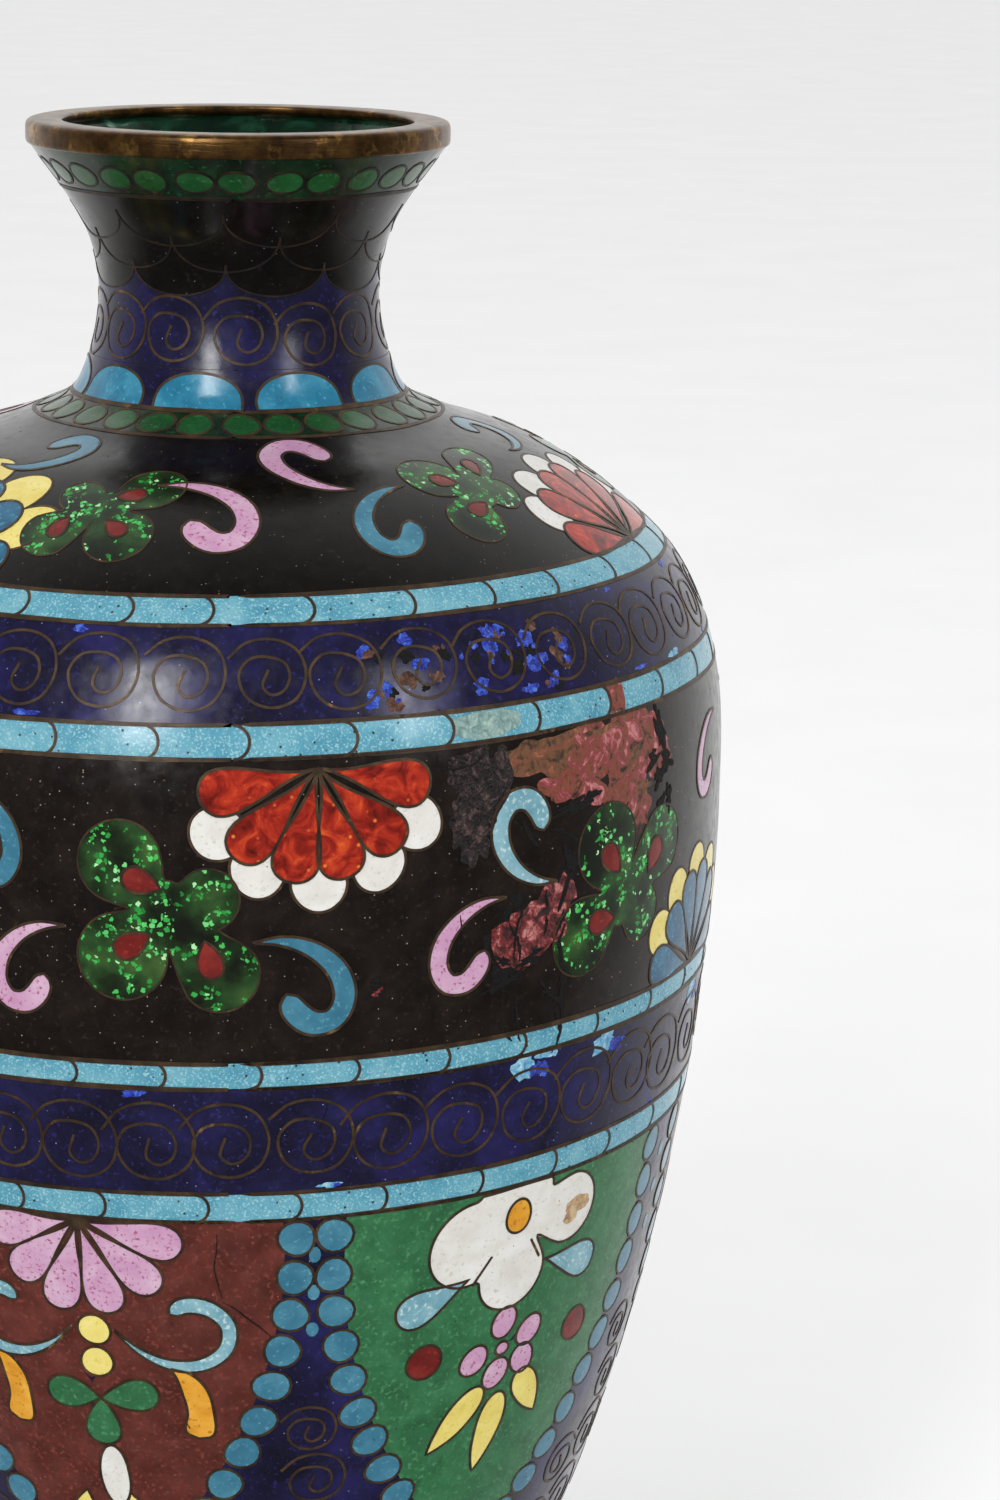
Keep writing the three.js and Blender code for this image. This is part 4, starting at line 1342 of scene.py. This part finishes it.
for piece in list(SHAPES):
    # The scale wires under the lip take the darker wire, which is painted shade.
    build_piece(piece, NECK_WIRE_PAINTED_SHADE if piece == "neck_scale_wires" else WIRE, "wire_brass")

# %% [markdown]
# ## Table, light and camera
# A pale table and an even white light on all sides show the colours. Gloss is another matter: a
# glossy vase mirrors its room, and a dark room in front keeps black enamel black, so what the
# gloss sees is dim in front, with two soft boxes, and pale behind.

# %% Table and room
TABLE_REACH = 6
ROOM_LIGHT, BACKDROP = 0.9, 0.9
GLOSS_FRONT, GLOSS_BEHIND = 0.07, 1.0

corners = [(x * TABLE_REACH, y * TABLE_REACH, 0) for x, y in ((-1, -1), (1, -1), (1, 1), (-1, 1))]
table_mesh = bpy.data.meshes.new("table_top")
table_mesh.from_pydata(corners, [], [(0, 1, 2, 3)])
table_top = bpy.data.objects.new("table_top", table_mesh)
bpy.context.scene.collection.objects.link(table_top)
board, tree, surface, where = start_recipe("matt_white_board")
cloud = node(tree, "TexNoise", {"Vector": where, "Scale": 1 / 40, "Detail": 3.0})
tone = node(tree, "ValToRGB", {0: cloud}, [(0.3, "#f4f4f4"), (0.7, "#f7f7f7")])
feed(surface, {"Base Color": tone, "Roughness": 0.7})
table_mesh.materials.append(board)
table_top.visible_glossy = False
table_top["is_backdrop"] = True

room = bpy.data.worlds.new("room")
bpy.context.scene.world = room
room.use_nodes = True
tree = room.node_tree
tree.nodes.clear()
split = node(tree, "SeparateXYZ", {0: node(tree, "TexCoord", {}).outputs["Generated"]})
behind = node(tree, "MapRange", {
    "Value": split.outputs[1], "From Min": -0.1, "From Max": 0.8,
    "To Min": GLOSS_FRONT, "To Max": GLOSS_BEHIND,
})
ray = node(tree, "LightPath", {})
seen = node(tree, "Mix", {0: ray.outputs["Is Glossy Ray"], 2: ROOM_LIGHT, 3: behind})
strength = node(tree, "Mix", {0: ray.outputs["Is Camera Ray"], 2: seen, 3: BACKDROP})
glow = node(tree, "Background", {"Color": (1, 1, 1, 1), "Strength": strength})
node(tree, "OutputWorld", {"Surface": glow})
print("table and room ready")

# %% Soft boxes and camera
AIM = Vector((0.0, 0.0, 0.09))
BOX_DISTANCE = 1.2


def add_soft_box(name, azimuth, elevation, width, tall, watts, mirrored=True):
    """An area light that faces the vase from an azimuth, from -Y towards +X, and an elevation."""
    a, e = math.radians(azimuth), math.radians(elevation)
    way = Vector((math.sin(a) * math.cos(e), -math.cos(a) * math.cos(e), math.sin(e)))
    light = bpy.data.lights.new(name, "AREA")
    light.shape = "RECTANGLE"
    light.size, light.size_y, light.energy = width, tall, watts
    box = bpy.data.objects.new(name, light)
    box.location = AIM + way * BOX_DISTANCE
    box.rotation_euler = way.to_track_quat("Z", "Y").to_euler()
    box.visible_glossy = mirrored
    bpy.context.scene.collection.objects.link(box)


add_soft_box("window_left", -23, 27, 0.2, 0.6, 5.4)
add_soft_box("window_right", 41, 24, 0.16, 0.5, 1.8)
add_soft_box("ceiling", -35, 62, 0.9, 0.9, 1.2, mirrored=False)

CAMERA_PLACE = Vector((0.0, -0.25511, 0.14926))
YAW, PITCH, ROLL = 3.966, 13.607, -0.740
lens = bpy.data.cameras.new("camera")
lens.lens = 92.32
lens.clip_start = 0.01
camera = bpy.data.objects.new("camera", lens)
camera.matrix_world = Matrix.Translation(CAMERA_PLACE)
for degrees, axis in ((-YAW, "Z"), (90 - PITCH, "X"), (-ROLL, "Z")):
    camera.matrix_world = camera.matrix_world @ Matrix.Rotation(math.radians(degrees), 4, axis)
bpy.context.scene.collection.objects.link(camera)
bpy.context.scene.camera = camera
bpy.context.scene.view_settings.view_transform = "Standard"
print(f"three soft boxes, and a {lens.lens:.0f} mm lens")

# %% [markdown]
# ## The bounds
# The box round every shown piece, the table left out, is worked out.

# %% Work out the bounds
low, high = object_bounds()
